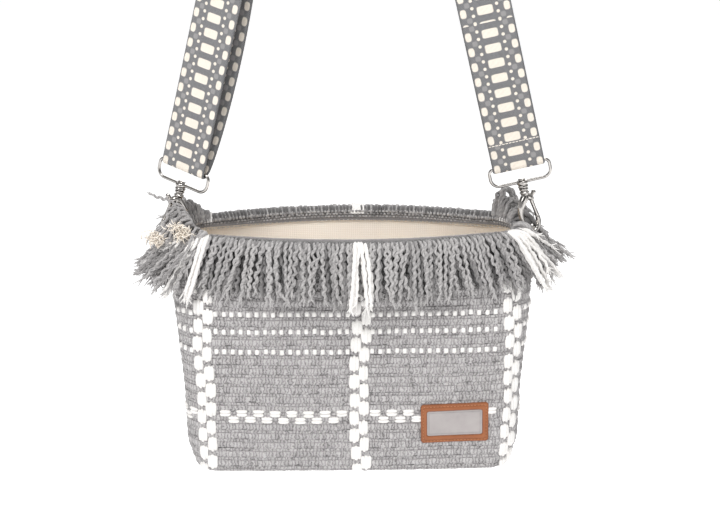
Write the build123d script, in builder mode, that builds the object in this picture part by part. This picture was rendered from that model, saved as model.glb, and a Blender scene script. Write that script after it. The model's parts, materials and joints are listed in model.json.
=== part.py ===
"""Small woven shoulder bag with a yarn fringe round its mouth, hanging from its adjustable strap.

Millimetres, +Z up, front toward -Y. The origin is the hanging point: the inner top of the strap
loop, on the middle plane of the bag.
"""
import os
from math import cos, radians, sin

from build123d import *

os.makedirs("parts", exist_ok=True)

# Strap: two leaning runs of webbing joined by an arc over the hanging point
TILT = 13.2             # lean of each run from vertical, degrees
SWIVEL_X = 130.0        # swivel centre from the middle of the bag
LOOP_R = 30.0           # inner radius of the arc at the top
WEB_W = 40.0            # webbing width
WEB_T = 2.0             # webbing thickness
LAYER_LIFT = 2.5        # webbing centre from the run's axis where it folds round a bar
CUT = 45.0              # height above the swivel where the folded end meets the long run
CUT_GAP = 0.5
YAW = {-1: -34.0, 1: -3.0}      # turn of each frame about its run, degrees
TWIST_START = {-1: 320.0, 1: 200.0}
TWIST_END = 415.0
TWIST_STEPS = 8

# Frame loops and swivel snap hooks
WIRE = 2.4              # frame wire
FRAME_W = 48.7          # outer width of the frame loop
FRAME_LOW = 3.0         # lower bar above the swivel
FRAME_HIGH = 17.0       # upper bar above the swivel
FRAME_CORNER = 5.0
POST_R = 2.0
BOSS_R = 4.5
FIT = 0.15              # running clearance
ROD_R = 2.0             # hook rod
THROAT_R = 5.2          # inner radius of the hook's bend
BEND_DROP = 31.0        # bend centre below the swivel
HEAD_TOP = 6.0          # hook head below the swivel
HEAD_LOW = 15.0
PIN_X = 4.2             # gate pin from the hook's axis
PIN_DROP = 11.0
HOOK_YAW = {-1: 0.0, 1: 30.0}
BOSS_DROP = 1.5         # boss below the swivel
COLLAR_R = 3.6
RIVET_R, RIVET_T = 3.0, 1.4
HEAD_T = 6.0
HEAD_OUTLINE = (         # toward the gate, below the swivel
    (-3.2, 6.0), (3.2, 6.0), (6.8, 10.0), (6.4, 13.4),
    (0.5, 13.5), (-5.6, 16.0), (-8.8, 16.0), (-8.6, 11.0),
)
GATE_SLOT = ((-0.6, 7.4), (8.2, 7.4), (8.2, 17.0), (-2.6, 17.0))
GATE_OUTLINE = ((2.8, 11.0), (5.8, 11.0), (8.4, 26.5), (6.0, 26.5))
NECK_R = 3.0
COLLAR_T = 0.9
TIP_RISE = 3.0
PIN_R = 0.9
GATE_T = 2.4
GATE_EYE_R = 2.9
LEVER_R = 1.7
LEVER_AT = (2.8, 1.6)   # from the pin, toward the outside and up
SPRING_R = 1.8

# D-rings and their leather tabs
RING_R = 12.0           # centreline radius of the ring's round top
RING_WIRE = 1.6         # ring wire radius
RING_PLAY = 1.6         # gap between ring and hook at rest
RING_CORNER = 3.0
BAR_DROP = 4.0          # ring's straight bar below the centre of its arc
TAB_W = 16.0
TAB_T = 1.6
TAB_FOOT, TAB_TURN = 137.2, 161.0   # where the tab meets the side seam, and its height
TAB_END, TAB_LOW = 135.9, 135.0     # its sewn lower end

# Bag
BAG_H = 187.5           # base to rim
RIM_DROP = 32.0         # rim below the swivel
WALL = 3.0              # woven cloth
LINING = 1.0
SECTIONS = (            # height, half width, depth at middle, depth at corner, corner x, half side
    (0.0, 122.0, 36.0, 34.5, 103.0, 12.0),
    (20.0, 128.0, 36.5, 35.0, 108.0, 13.0),
    (63.0, 129.5, 36.5, 35.0, 108.0, 14.0),
    (127.0, 135.0, 37.0, 33.0, 112.0, 12.0),
    (165.0, 137.0, 37.0, 28.0, 112.0, 8.0),
    (BAG_H, 126.5, 37.0, 22.0, 104.0, 5.0),
)
CLEAR_DEPTH = 200.0     # deeper than the whole bag
TAPE_H = 1.5            # tape over the raw rim
COLUMNS = (-115.0, 4.0, 121.0)      # thick white cords woven up the cloth
COLUMN_W = 14.0
COLUMN_T = 1.6
FRINGE_DROP = 48.0
FRINGE_RISE = 3.0
FRINGE_LOW, FRINGE_TOP = 12.0, 8.0  # stand-off of the fringe's outside, bottom and top
FRINGE_IN = 2.0         # stand-off of its inside
TASSEL_W = 11.0
TUFT_Y = (15.0, 26.0)   # tufts stand either side of the tab
TUFT_MID, TUFT_SPAN = (150.0, 70.0), 80.0
TUFT_IN = 0.4
TUFT_OUTLINE = ((129, 50), (143, 50), (167, 72), (160, 88), (142, 94), (129, 86))

# Label
LABEL = (78.0, 40.0)    # centre: x, height above the base
LABEL_W, LABEL_H, LABEL_T = 52.5, 32.5, 1.6
PLATE_W, PLATE_H, PLATE_T = 43.0, 21.0, 1.0
STITCH_PITCH = 3.4
LABEL_TURN = 1.0

# Slider on the left run
SLIDER_AT = 200.0       # height above the left swivel
SLIDER_H = 26.0
SLIDER_BAR_LIFT = 5.2   # outer bars in front of the run's axis
SLIDER_BAR_R = 1.5
SLIDER_INNER = 21.4
TAIL_PAST = 5.0         # return layer past the slider's middle bar

# Magnetic snap
SNAP_R, SNAP_T = 9.0, 2.0
SNAP_DROP = 25.0        # below the rim
SNAP_FACE = 32.8        # distance of the disc's back from the middle plane
SNAP_NUB_R, SNAP_NUB_T = 3.0, 0.8

SIN_T, COS_T = sin(radians(TILT)), cos(radians(TILT))
MID_R = LOOP_R + WEB_T / 2
RUN = (SWIVEL_X - MID_R * COS_T) / SIN_T
SWIVEL_Z = -LOOP_R + MID_R * SIN_T - RUN * COS_T
RIM_Z = SWIVEL_Z - RIM_DROP
BASE_Z = RIM_Z - BAG_H
THROAT_MID = THROAT_R + ROD_R
RING_TOP = BEND_DROP + THROAT_R - RING_WIRE - RING_PLAY
RING_CENTRE = RING_TOP + RING_R
BAR_AT = RING_CENTRE + BAR_DROP
NAMES = {-1: "left", 1: "right"}


def run_axes(side, yaw=0.0):
    """Up the run, across the webbing, and the webbing's front face direction."""
    up = Vector(-side * SIN_T, 0, COS_T)
    flat = Vector(COS_T, 0, side * SIN_T)
    turn = radians(yaw)
    across = flat * cos(turn) + Vector(0, 1, 0) * sin(turn)
    front = flat * sin(turn) - Vector(0, 1, 0) * cos(turn)
    return up, across, front


def run_point(side, height):
    """A point on the axis of one strap run, height above its swivel."""
    return Vector(side * SWIVEL_X, 0, SWIVEL_Z) + run_axes(side)[0] * height


def cross_plane(side, height, yaw=0.0, lift=0.0):
    """Plane square to the run: x across the webbing, y toward its back."""
    up, across, front = run_axes(side, yaw)
    return Plane(origin=run_point(side, height) + front * lift, x_dir=across, z_dir=up)


def face_plane(side, yaw=0.0, height=0.0):
    """Plane of the webbing's face: x across, y up the run."""
    _, across, front = run_axes(side, yaw)
    return Plane(origin=run_point(side, height), x_dir=across, z_dir=front)


def edge_plane(side, yaw=0.0, height=0.0):
    """Plane seen along the webbing's width: x toward its front, y up the run."""
    _, across, front = run_axes(side, yaw)
    return Plane(origin=run_point(side, height), x_dir=front, z_dir=across * -1)


def sided(outline, side):
    """Outline of (toward the gate, below the swivel) pairs as points in the hook's own plane."""
    return [(side * toward, -drop) for toward, drop in outline]


def finish(part, name):
    """Label a finished piece and write its STEP file."""
    part.label = name
    export_step(part, f"parts/{name}.step")


def section(height):
    """Outline sizes of the bag at any height, between the named sections."""
    for low, high in zip(SECTIONS, SECTIONS[1:]):
        if height <= high[0]:
            break
    share = (height - low[0]) / (high[0] - low[0])
    return [a + (b - a) * share for a, b in zip(low, high)][1:]


def bag_outline(height, grow):
    """Face of the bag's outline at one height, grown or shrunk all round."""
    half, mid, end, corner, side = section(height)
    half, mid, end = half + grow, mid + grow, end + grow
    round_x = corner + 0.72 * (half - corner)
    round_y = side + 0.72 * (end - side)
    with BuildSketch(Plane.XY.offset(BASE_Z + height)) as outline:
        with BuildLine():
            ThreePointArc((-corner, -end), (0, -mid), (corner, -end))
            ThreePointArc((corner, -end), (round_x, -round_y), (half, -side))
            ThreePointArc((-half, -side), (-round_x, -round_y), (-corner, -end))
            Line((half, -side), (half, 0))
            Line((-half, -side), (-half, 0))
            mirror(about=Plane.XZ)
        make_face()
    return outline.sketch.face()


def bag_form(low, high, low_grow, high_grow, mode=Mode.ADD):
    """Solid inside the bag's outline from one height to another."""
    levels = [low] + [s[0] for s in SECTIONS if low < s[0] < high] + [high]
    outlines = []
    for level in levels:
        share = (level - low) / (high - low)
        outlines.append(bag_outline(level, low_grow + (high_grow - low_grow) * share))
    loft(outlines, ruled=True, mode=mode)


def keep_half(front):
    """Keep the front or the back half of the part being built."""
    split(bisect_by=Plane.XZ, keep=Keep.TOP if front else Keep.BOTTOM)


def slab(x_mid, width, mode):
    """A vertical slab across the bag at one place along its width."""
    with Locations((x_mid, 0, BASE_Z + BAG_H / 2)):
        Box(width, CLEAR_DEPTH, 2 * BAG_H, mode=mode)


def keep_columns(width):
    """Keep only the upright strips of the part being built where the white cords run."""
    slab((COLUMNS[0] + COLUMNS[2]) / 2, COLUMNS[2] - COLUMNS[0] + width, Mode.INTERSECT)
    for low, high in zip(COLUMNS, COLUMNS[1:]):
        slab((low + high) / 2, high - low - width, Mode.SUBTRACT)


def label_plane(lift):
    """Plane of the label on the front panel, lift proud of the cloth."""
    turn = radians(LABEL_TURN)
    origin = (LABEL[0], -section(LABEL[1])[1] - lift, BASE_Z + LABEL[1])
    return Plane(origin=origin, x_dir=(cos(turn), 0, sin(turn)), z_dir=(0, -1, 0))


# ---------------------------------------------------------------- bag cloth and lining
for half_name, is_front in (("front", True), ("back", False)):
    with BuildPart() as panel:
        bag_form(0, BAG_H, 0, 0)
        bag_form(WALL, BAG_H, -WALL, -WALL, Mode.SUBTRACT)
        keep_half(is_front)
    finish(panel.part, f"{half_name}_panel")

    with BuildPart() as lining:
        bag_form(WALL, BAG_H, -WALL, -WALL)
        bag_form(WALL + LINING, BAG_H, -WALL - LINING, -WALL - LINING, Mode.SUBTRACT)
        keep_half(is_front)
    finish(lining.part, f"{half_name}_lining")

    with BuildPart() as tape:
        extrude(bag_outline(BAG_H, 0), amount=TAPE_H)
        extrude(bag_outline(BAG_H, -WALL - LINING), amount=TAPE_H, mode=Mode.SUBTRACT)
        keep_half(is_front)
    finish(tape.part, f"{half_name}_rim_tape")

    with BuildPart() as cords:
        bag_form(0, BAG_H, COLUMN_T, COLUMN_T)
        bag_form(0, BAG_H, 0, 0, Mode.SUBTRACT)
        keep_half(is_front)
        keep_columns(COLUMN_W)
    finish(cords.part, f"{half_name}_accent_cords")

    with BuildPart() as fringe:
        bag_form(BAG_H - FRINGE_DROP, BAG_H, FRINGE_LOW, FRINGE_TOP)
        extrude(bag_outline(BAG_H, FRINGE_TOP), amount=FRINGE_RISE)
        bag_form(BAG_H - FRINGE_DROP, BAG_H, FRINGE_IN, FRINGE_IN, Mode.SUBTRACT)
        extrude(bag_outline(BAG_H, FRINGE_IN), amount=FRINGE_RISE, mode=Mode.SUBTRACT)
        keep_half(is_front)
        slab((COLUMNS[0] + COLUMNS[2]) / 2, COLUMNS[2] - COLUMNS[0] - TASSEL_W - 1, Mode.INTERSECT)
        slab(COLUMNS[1], TASSEL_W + 1, Mode.SUBTRACT)
    finish(fringe.part, f"{half_name}_fringe")

    with BuildPart() as tassels:
        bag_form(BAG_H - FRINGE_DROP, BAG_H, FRINGE_LOW, FRINGE_TOP)
        extrude(bag_outline(BAG_H, FRINGE_TOP), amount=FRINGE_RISE)
        bag_form(BAG_H - FRINGE_DROP, BAG_H, FRINGE_IN, FRINGE_IN, Mode.SUBTRACT)
        extrude(bag_outline(BAG_H, FRINGE_IN), amount=FRINGE_RISE, mode=Mode.SUBTRACT)
        keep_half(is_front)
        keep_columns(TASSEL_W)
    finish(tassels.part, f"{half_name}_tassels")

    front_sign = -1 if is_front else 1
    with BuildPart() as snap:
        with BuildSketch(Plane.XZ.offset(-front_sign * SNAP_FACE)):
            with Locations((0, RIM_Z - SNAP_DROP)):
                Circle(SNAP_R)
        extrude(amount=front_sign * SNAP_T)
        if is_front:
            with BuildSketch(Plane.XZ.offset(SNAP_FACE - SNAP_T)):
                with Locations((0, RIM_Z - SNAP_DROP)):
                    Circle(SNAP_NUB_R)
            extrude(amount=-SNAP_NUB_T)
        else:
            with BuildSketch(Plane.XZ.offset(-SNAP_FACE + SNAP_T)):
                with Locations((0, RIM_Z - SNAP_DROP)):
                    Circle(SNAP_NUB_R + FIT)
            extrude(amount=-SNAP_T / 2, mode=Mode.SUBTRACT)
    finish(snap.part, f"{half_name}_magnetic_snap")

# ---------------------------------------------------------------- label on the front
with BuildPart() as label_frame:
    with BuildSketch(label_plane(0)):
        RectangleRounded(LABEL_W, LABEL_H, 2.5)
        RectangleRounded(PLATE_W, PLATE_H, 1.5, mode=Mode.SUBTRACT)
    extrude(amount=LABEL_T)
    fillet(label_frame.faces().sort_by(Axis.Y)[0].edges(), 0.5)
finish(label_frame.part, "label_frame")

with BuildPart() as label_plate:
    with BuildSketch(label_plane(0)):
        RectangleRounded(PLATE_W, PLATE_H, 1.5)
    extrude(amount=PLATE_T)
finish(label_plate.part, "label_plate")

with BuildPart() as label_stitches:
    stitch_x, stitch_y = LABEL_W / 2 - 2.0, LABEL_H / 2 - 2.0
    with BuildSketch(label_plane(LABEL_T)):
        for row in (-1, 1):
            with Locations((0, row * stitch_y)):
                with GridLocations(STITCH_PITCH, 1, int(2 * stitch_x / STITCH_PITCH), 1):
                    SlotOverall(2.2, 0.6)
            with Locations((row * stitch_x, 0)):
                with GridLocations(1, STITCH_PITCH, 1, int(2 * stitch_y / STITCH_PITCH) - 1):
                    SlotOverall(2.2, 0.6, rotation=90)
    extrude(amount=0.3)
finish(label_stitches.part, "label_stitches")

# ---------------------------------------------------------------- parts that come in a left and a right
for side, name in NAMES.items():
    yaw = YAW[side]

    with BuildPart() as tufts:
        with BuildSketch(Plane.XZ):
            with BuildLine():
                Polyline(*[(side * x, SWIVEL_Z - drop) for x, drop in TUFT_OUTLINE], close=True)
            make_face()
        extrude(amount=TUFT_Y[1], both=True)
        with BuildSketch(Plane.XZ):
            with Locations((side * TUFT_MID[0], SWIVEL_Z - TUFT_MID[1])):
                Rectangle(TUFT_SPAN, TUFT_SPAN)
        extrude(amount=TUFT_Y[0], both=True, mode=Mode.SUBTRACT)
        bag_form(0, BAG_H, TUFT_IN, TUFT_IN, Mode.SUBTRACT)
    finish(tufts.part, f"{name}_side_tufts")

    ring_face = Plane(origin=run_point(side, -RING_CENTRE), x_dir=(0, 1, 0),
                      z_dir=Vector(0, 1, 0).cross(run_axes(side)[0]))
    with BuildPart() as ring:
        with BuildLine(ring_face) as ring_line:
            low_x, low_y = RING_R - RING_CORNER, -BAR_DROP
            ThreePointArc((-RING_R, 0), (0, RING_R), (RING_R, 0))
            Line((RING_R, 0), (RING_R, low_y + RING_CORNER))
            RadiusArc((RING_R, low_y + RING_CORNER), (low_x, low_y), RING_CORNER)
            Line((low_x, low_y), (-low_x, low_y))
            RadiusArc((-low_x, low_y), (-RING_R, low_y + RING_CORNER), RING_CORNER)
            Line((-RING_R, low_y + RING_CORNER), (-RING_R, 0))
        with BuildSketch(Plane(origin=ring_line.line @ 0, z_dir=ring_line.line % 0)):
            Circle(RING_WIRE)
        sweep(path=ring_line.line)
    finish(ring.part, f"{name}_d_ring")

    bar = run_point(side, -BAR_AT)
    with BuildPart() as tab:
        with BuildSketch(Plane.XZ):
            with Locations((bar.X, bar.Z)):
                Circle(RING_WIRE + FIT + TAB_T)
            with BuildLine():
                Polyline(
                    (bar.X - side * TAB_T, bar.Z),
                    (bar.X + side * (RING_WIRE + TAB_T), bar.Z),
                    (side * (TAB_FOOT + 2 * TAB_T), BASE_Z + TAB_TURN),
                    (side * (TAB_END + 2 * TAB_T), BASE_Z + TAB_LOW),
                    (side * TAB_END, BASE_Z + TAB_LOW),
                    (side * TAB_FOOT, BASE_Z + TAB_TURN),
                    close=True)
            make_face()
            with Locations((bar.X, bar.Z)):
                Circle(RING_WIRE + FIT, mode=Mode.SUBTRACT)
        extrude(amount=TAB_W / 2, both=True)
    finish(tab.part, f"{name}_leather_tab")

    with BuildPart() as frame:
        frame_mid = (FRAME_LOW + FRAME_HIGH) / 2
        tall = FRAME_HIGH - FRAME_LOW
        with BuildSketch(face_plane(side, yaw).offset(-WIRE / 2)):
            with Locations((0, frame_mid)):
                RectangleRounded(FRAME_W, tall + WIRE, FRAME_CORNER)
                RectangleRounded(FRAME_W - 2 * WIRE, tall - WIRE, FRAME_CORNER - WIRE + 0.5,
                                 mode=Mode.SUBTRACT)
        extrude(amount=WIRE)
        fillet(frame.edges(), WIRE * 0.42)
        with BuildSketch(cross_plane(side, -BOSS_DROP, yaw)):
            Circle(BOSS_R)
        extrude(amount=BOSS_DROP + FRAME_LOW + WIRE / 2)
        with BuildSketch(cross_plane(side, -BOSS_DROP, yaw)):
            Circle(POST_R + FIT)
        extrude(amount=BOSS_DROP + FRAME_HIGH - WIRE, mode=Mode.SUBTRACT)
    finish(frame.part, f"{name}_frame_loop")

    with BuildPart() as end:
        inner, outer = LAYER_LIFT - WEB_T / 2, LAYER_LIFT + WEB_T / 2
        with BuildSketch(edge_plane(side, yaw)):
            with Locations((0, FRAME_HIGH)):
                Circle(outer)
                Circle(inner, mode=Mode.SUBTRACT)
                with Locations((0, outer)):
                    Rectangle(2 * outer, 2 * outer, mode=Mode.SUBTRACT)
            for leg in (-1, 1):
                with Locations((leg * LAYER_LIFT, (FRAME_HIGH + CUT - CUT_GAP) / 2)):
                    Rectangle(WEB_T, CUT - CUT_GAP - FRAME_HIGH)
        extrude(amount=WEB_W / 2, both=True)
    finish(end.part, f"{name}_strap_end")

    with BuildPart() as run:
        heights = [CUT, TWIST_START[side]]
        heights += [TWIST_START[side] + (TWIST_END - TWIST_START[side]) * i / TWIST_STEPS
                    for i in range(1, TWIST_STEPS + 1)] + [RUN]
        cuts = []
        for height in heights:
            share = min(max((height - TWIST_START[side]) / (TWIST_END - TWIST_START[side]), 0), 1)
            plane = cross_plane(side, height, yaw + (side * 90 - yaw) * share,
                                LAYER_LIFT * (1 - share))
            with BuildSketch(plane) as cut:
                Rectangle(WEB_W, WEB_T)
            cuts.append(cut.sketch.face())
        loft(cuts, ruled=True)
    finish(run.part, f"{name}_strap_run")

    hook_yaw = HOOK_YAW[side]
    with BuildPart() as hook:
        with BuildLine(face_plane(side, hook_yaw)) as rod:
            shank = -side * THROAT_MID
            Line((shank, -HEAD_LOW + 2), (shank, -BEND_DROP))
            ThreePointArc((shank, -BEND_DROP), (0, -BEND_DROP - THROAT_MID), (-shank, -BEND_DROP))
            Line((-shank, -BEND_DROP), (-shank, -BEND_DROP + TIP_RISE))
        with BuildSketch(Plane(origin=rod.line @ 0, z_dir=rod.line % 0)):
            Circle(ROD_R)
        sweep(path=rod.line)
        with BuildSketch(face_plane(side, hook_yaw).offset(-HEAD_T / 2)):
            with BuildLine():
                Polyline(*sided(HEAD_OUTLINE, side), close=True)
            make_face()
        extrude(amount=HEAD_T)
        with BuildSketch(cross_plane(side, -HEAD_TOP - 1, hook_yaw)):
            Circle(NECK_R)
        extrude(amount=HEAD_TOP + 1 - BOSS_DROP - FIT)
        for ring_low in (BOSS_DROP + FIT + COLLAR_T, HEAD_TOP - COLLAR_T / 2):
            with BuildSketch(cross_plane(side, -ring_low, hook_yaw)):
                Circle(COLLAR_R)
            extrude(amount=COLLAR_T)
        with BuildSketch(cross_plane(side, -BOSS_DROP - FIT, hook_yaw)):
            Circle(POST_R)
        extrude(amount=BOSS_DROP + FIT + FRAME_LOW + WIRE / 2 + FIT)
        with BuildSketch(cross_plane(side, FRAME_LOW + WIRE / 2 + FIT, hook_yaw)):
            Circle(RIVET_R)
        extrude(amount=RIVET_T, taper=20)
        with BuildSketch(face_plane(side, hook_yaw).offset(-GATE_T / 2 - FIT)):
            with BuildLine():
                Polyline(*sided(GATE_SLOT, side), close=True)
            make_face()
        extrude(amount=GATE_T + 2 * FIT, mode=Mode.SUBTRACT)
        with BuildSketch(face_plane(side, hook_yaw).offset(-HEAD_T / 2)):
            with Locations((side * PIN_X, -PIN_DROP)):
                Circle(PIN_R)
        extrude(amount=HEAD_T, mode=Mode.SUBTRACT)
    finish(hook.part, f"{name}_snap_hook")

    with BuildPart() as gate:
        with BuildSketch(face_plane(side, hook_yaw).offset(-GATE_T / 2)):
            with BuildLine():
                Polyline(*sided(GATE_OUTLINE, side), close=True)
            make_face()
            with Locations((side * PIN_X, -PIN_DROP)):
                Circle(GATE_EYE_R)
                with Locations((side * LEVER_AT[0], LEVER_AT[1])):
                    Circle(LEVER_R)
                Circle(SPRING_R + FIT, mode=Mode.SUBTRACT)
        extrude(amount=GATE_T)
    finish(gate.part, f"{name}_hook_gate")

    with BuildPart() as pin:
        with BuildSketch(face_plane(side, hook_yaw).offset(-HEAD_T / 2)):
            with Locations((side * PIN_X, -PIN_DROP)):
                Circle(PIN_R)
        extrude(amount=HEAD_T)
    finish(pin.part, f"{name}_gate_pin")

    with BuildPart() as spring:
        with BuildSketch(face_plane(side, hook_yaw).offset(-GATE_T / 2)):
            with Locations((side * PIN_X, -PIN_DROP)):
                Circle(SPRING_R)
                Circle(PIN_R + FIT / 2, mode=Mode.SUBTRACT)
        extrude(amount=GATE_T)
    finish(spring.part, f"{name}_gate_spring")

# ---------------------------------------------------------------- strap top, return layer and slider
with BuildPart() as arc:
    with BuildSketch(Plane.XZ):
        with BuildLine():
            for radius in (LOOP_R, LOOP_R + WEB_T):
                ThreePointArc(
                    (-radius * COS_T, -LOOP_R + radius * SIN_T), (0, -LOOP_R + radius),
                    (radius * COS_T, -LOOP_R + radius * SIN_T))
            for side in NAMES:
                Line((side * LOOP_R * COS_T, -LOOP_R + LOOP_R * SIN_T),
                     (side * (LOOP_R + WEB_T) * COS_T, -LOOP_R + (LOOP_R + WEB_T) * SIN_T))
        make_face()
    extrude(amount=WEB_W / 2, both=True)
finish(arc.part, "strap_top")

with BuildPart() as tail:
    with BuildSketch(cross_plane(-1, CUT, YAW[-1], -LAYER_LIFT)):
        Rectangle(WEB_W, WEB_T)
    extrude(amount=SLIDER_AT + TAIL_PAST - CUT)
finish(tail.part, "strap_tail")

with BuildPart() as slider:
    front_y, back_y = SLIDER_BAR_LIFT + SLIDER_BAR_R, -SLIDER_BAR_R
    with BuildSketch(edge_plane(-1, YAW[-1], SLIDER_AT)):
        for bar_y in (-1, 1):
            with Locations((SLIDER_BAR_LIFT, bar_y * (SLIDER_H / 2 - SLIDER_BAR_R))):
                Circle(SLIDER_BAR_R)
        Circle(SLIDER_BAR_R - 0.2)
    extrude(amount=SLIDER_INNER + 1, both=True)
    for end in (-1, 1):
        with BuildSketch(edge_plane(-1, YAW[-1], SLIDER_AT).offset(end * (SLIDER_INNER + WIRE / 2))):
            with BuildLine():
                half = SLIDER_H / 2
                Polyline((front_y, half), (front_y - 2 * SLIDER_BAR_R, half), (back_y, half / 2),
                         (back_y, -half / 2), (front_y - 2 * SLIDER_BAR_R, -half), (front_y, -half),
                         close=True)
            make_face()
        extrude(amount=WIRE / 2, both=True)
finish(slider.part, "strap_slider")
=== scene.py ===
"""Looks of the fringed woven shoulder bag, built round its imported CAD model. Metres, +Z up."""
import json
import math

import bpy
import numpy as np
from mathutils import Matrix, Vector


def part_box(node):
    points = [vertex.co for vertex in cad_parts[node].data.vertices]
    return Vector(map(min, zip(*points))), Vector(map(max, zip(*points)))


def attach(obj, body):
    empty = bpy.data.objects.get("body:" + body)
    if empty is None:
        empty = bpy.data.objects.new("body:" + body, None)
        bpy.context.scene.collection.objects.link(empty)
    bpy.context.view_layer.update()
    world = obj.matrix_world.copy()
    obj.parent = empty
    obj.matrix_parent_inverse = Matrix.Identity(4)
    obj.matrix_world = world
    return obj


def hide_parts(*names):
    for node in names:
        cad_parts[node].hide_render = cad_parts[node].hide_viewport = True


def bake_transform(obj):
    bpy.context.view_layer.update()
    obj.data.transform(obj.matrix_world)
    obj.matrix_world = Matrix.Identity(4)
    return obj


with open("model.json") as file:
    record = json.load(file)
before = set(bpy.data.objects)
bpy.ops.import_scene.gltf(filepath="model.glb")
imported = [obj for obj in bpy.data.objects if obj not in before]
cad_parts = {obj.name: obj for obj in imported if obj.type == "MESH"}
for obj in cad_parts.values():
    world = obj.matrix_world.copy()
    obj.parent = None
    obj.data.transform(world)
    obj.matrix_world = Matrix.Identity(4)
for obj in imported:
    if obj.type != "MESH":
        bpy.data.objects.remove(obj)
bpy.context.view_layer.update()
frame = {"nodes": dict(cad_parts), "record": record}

MM = 0.001
rng = np.random.default_rng(11)
JOINTS = {joint["name"]: joint for joint in frame["record"]["behaviour"]["joints"]}
PANEL_LOW, PANEL_HIGH = (np.array(corner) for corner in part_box("front_panel"))
BASE_Z, RIM_Z = PANEL_LOW[2], PANEL_HIGH[2]
BAG_H = RIM_Z - BASE_Z
UP = np.array([0, 0, 1.0])
DEPTH = np.array([0, 1.0, 0])           # from the front of the bag to its back
SIDES = ((-1, "left"), (1, "right"))
WALLS = (False, True)                   # is it the back wall


def wall_name(back):
    return "back" if back else "front"


def unit(vectors):
    """Vectors scaled to a length of one."""
    return vectors / np.linalg.norm(vectors, axis=-1, keepdims=True)


def run_along(points):
    """Distance from the first point to each point of a line."""
    return np.concatenate([[0], np.cumsum(np.linalg.norm(np.diff(points, axis=0), axis=1))])


def soften(line, passes):
    """Smooth a line of points in place; its ends stay."""
    for _ in range(passes):
        line[1:-1] = (line[:-2] + 2 * line[1:-1] + line[2:]) / 4


# ------------------------------------------------------------------ form of the bag
# height, half width, depth at middle, depth at corner, corner x, half side; all mm
FORM = np.array([
    (0.0, 122.5, 36.0, 34.5, 103.0, 12.0),
    (20.0, 128.5, 36.5, 35.0, 108.0, 13.0),
    (63.0, 129.5, 36.5, 35.0, 108.0, 14.0),
    (127.0, 135.5, 37.0, 33.0, 112.0, 12.0),
    (165.0, 137.0, 37.0, 28.0, 112.0, 8.0),
    (187.5, 126.5, 37.0, 22.0, 104.0, 5.0),
]) * MM
BAND = 7.7 * MM                         # pitch of the grey ribs
SLUB = 2.6 * MM
TALL = 0.74                             # share of a rib's pitch that the upright slubs fill
EDGE_R = 2.5 * MM                       # rounding where the walls meet the base
BELLY, BELLY_AT, BELLY_SPREAD = 2.5 * MM, 0.063, 0.045      # bulge of the walls and its height
BACK_RISE, FRONT_DIP = 2.5 * MM, -3.5 * MM      # the mouth's edge at the middle of each wall
MOUTH_FROM, MOUTH_OVER, MOUTH_REACH = 0.128, 0.06, 0.15     # where that rise or dip fades out
RIPPLE = 0.028                          # unevenness of the walls, as a share of their depth
ROW_STEP = 1.5 * MM
ARC_STEP = 1.0 * MM
UNDER = 33 * MM                         # cloth from the bottom edge to the middle of the base


def half_outline(height):
    """Smooth line from the front's middle to the right seam at one height."""
    w, m, e, c, s = (np.interp(height, FORM[:, 0], FORM[:, k]) for k in range(1, 6))
    if height < EDGE_R:
        inset = EDGE_R - math.sqrt(EDGE_R ** 2 - (EDGE_R - height) ** 2)
        w, m, e = w - inset, m - inset, e - inset
    t = np.linspace(0, 1, 110)
    a = np.linspace(0, math.pi / 2, 44)[1:]
    x = np.concatenate([c * t, c + (w - c) * np.sin(a), np.full(11, w)])
    y = -np.concatenate([m - (m - e) * t ** 2, s + (e - s) * np.cos(a), np.linspace(s, 0, 12)[1:]])
    soften(x, 30)
    soften(y, 30)
    bulge = BELLY * math.exp(-((height - BELLY_AT) / BELLY_SPREAD) ** 2) * (height > 0)
    y -= bulge * np.clip(1 - (x / w) ** 2, 0, 1)
    return x, y, run_along(np.stack([x, y], -1))


def build_table():
    """Positions on the bag by height and by distance round it from the front's middle."""
    heights = np.linspace(0, BAG_H, int(BAG_H / ROW_STEP) + 1)
    arcs = np.arange(0, 0.21, ARC_STEP)
    table_x, table_y, quarter = [], [], []
    for height in heights:
        x, y, arc = half_outline(height)
        whole = arc[-1]
        past = arcs > whole
        folded = np.where(past, 2 * whole - arcs, arcs)
        table_x.append(np.interp(folded, arc, x))
        table_y.append(np.where(past, -1, 1) * np.interp(folded, arc, y))
        quarter.append(whole)
    return heights, arcs, np.array(table_x), np.array(table_y), np.array(quarter)


HEIGHTS, ARCS, TABLE_X, TABLE_Y, QUARTER = build_table()


def seam_at(s):
    """Distance round the bag from the front's middle to the side seam."""
    return np.interp(np.clip(s, 0, BAG_H), HEIGHTS, QUARTER)


def surface(around, s):
    """Points of the cloth's plain form; s is the height, or negative under the base."""
    around, s = np.broadcast_arrays(np.asarray(around, float), np.asarray(s, float))
    i = np.clip(s / (HEIGHTS[1] - HEIGHTS[0]), 0, len(HEIGHTS) - 1.001)
    j = np.clip(np.abs(around) / ARC_STEP, 0, len(ARCS) - 1.001)
    i0, j0 = i.astype(int), j.astype(int)
    fi, fj = i - i0, j - j0

    def mix(table):
        low = table[i0, j0] * (1 - fj) + table[i0, j0 + 1] * fj
        high = table[i0 + 1, j0] * (1 - fj) + table[i0 + 1, j0 + 1] * fj
        return low * (1 - fi) + high * fi

    under = np.clip(-s / UNDER, 0, 1)
    x = mix(TABLE_X) * np.sign(around)
    y = mix(TABLE_Y) * (1 - under)
    ripple = 0.5 * np.sin(41 * around + 29 * s + 1.3) + 0.5 * np.sin(67 * around - 43 * s + 0.4)
    near_base = np.clip(s / 0.02, 0, 1)
    near_rim = np.clip((BAG_H - s) / 0.03, 0.2, 1)
    y = y * (1 + RIPPLE * ripple * (under == 0) * near_base * near_rim)
    z = BASE_Z + np.clip(s, 0, BAG_H) + np.clip(s - BAG_H, 0, None)
    return np.stack([x, y, z], -1)


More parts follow.
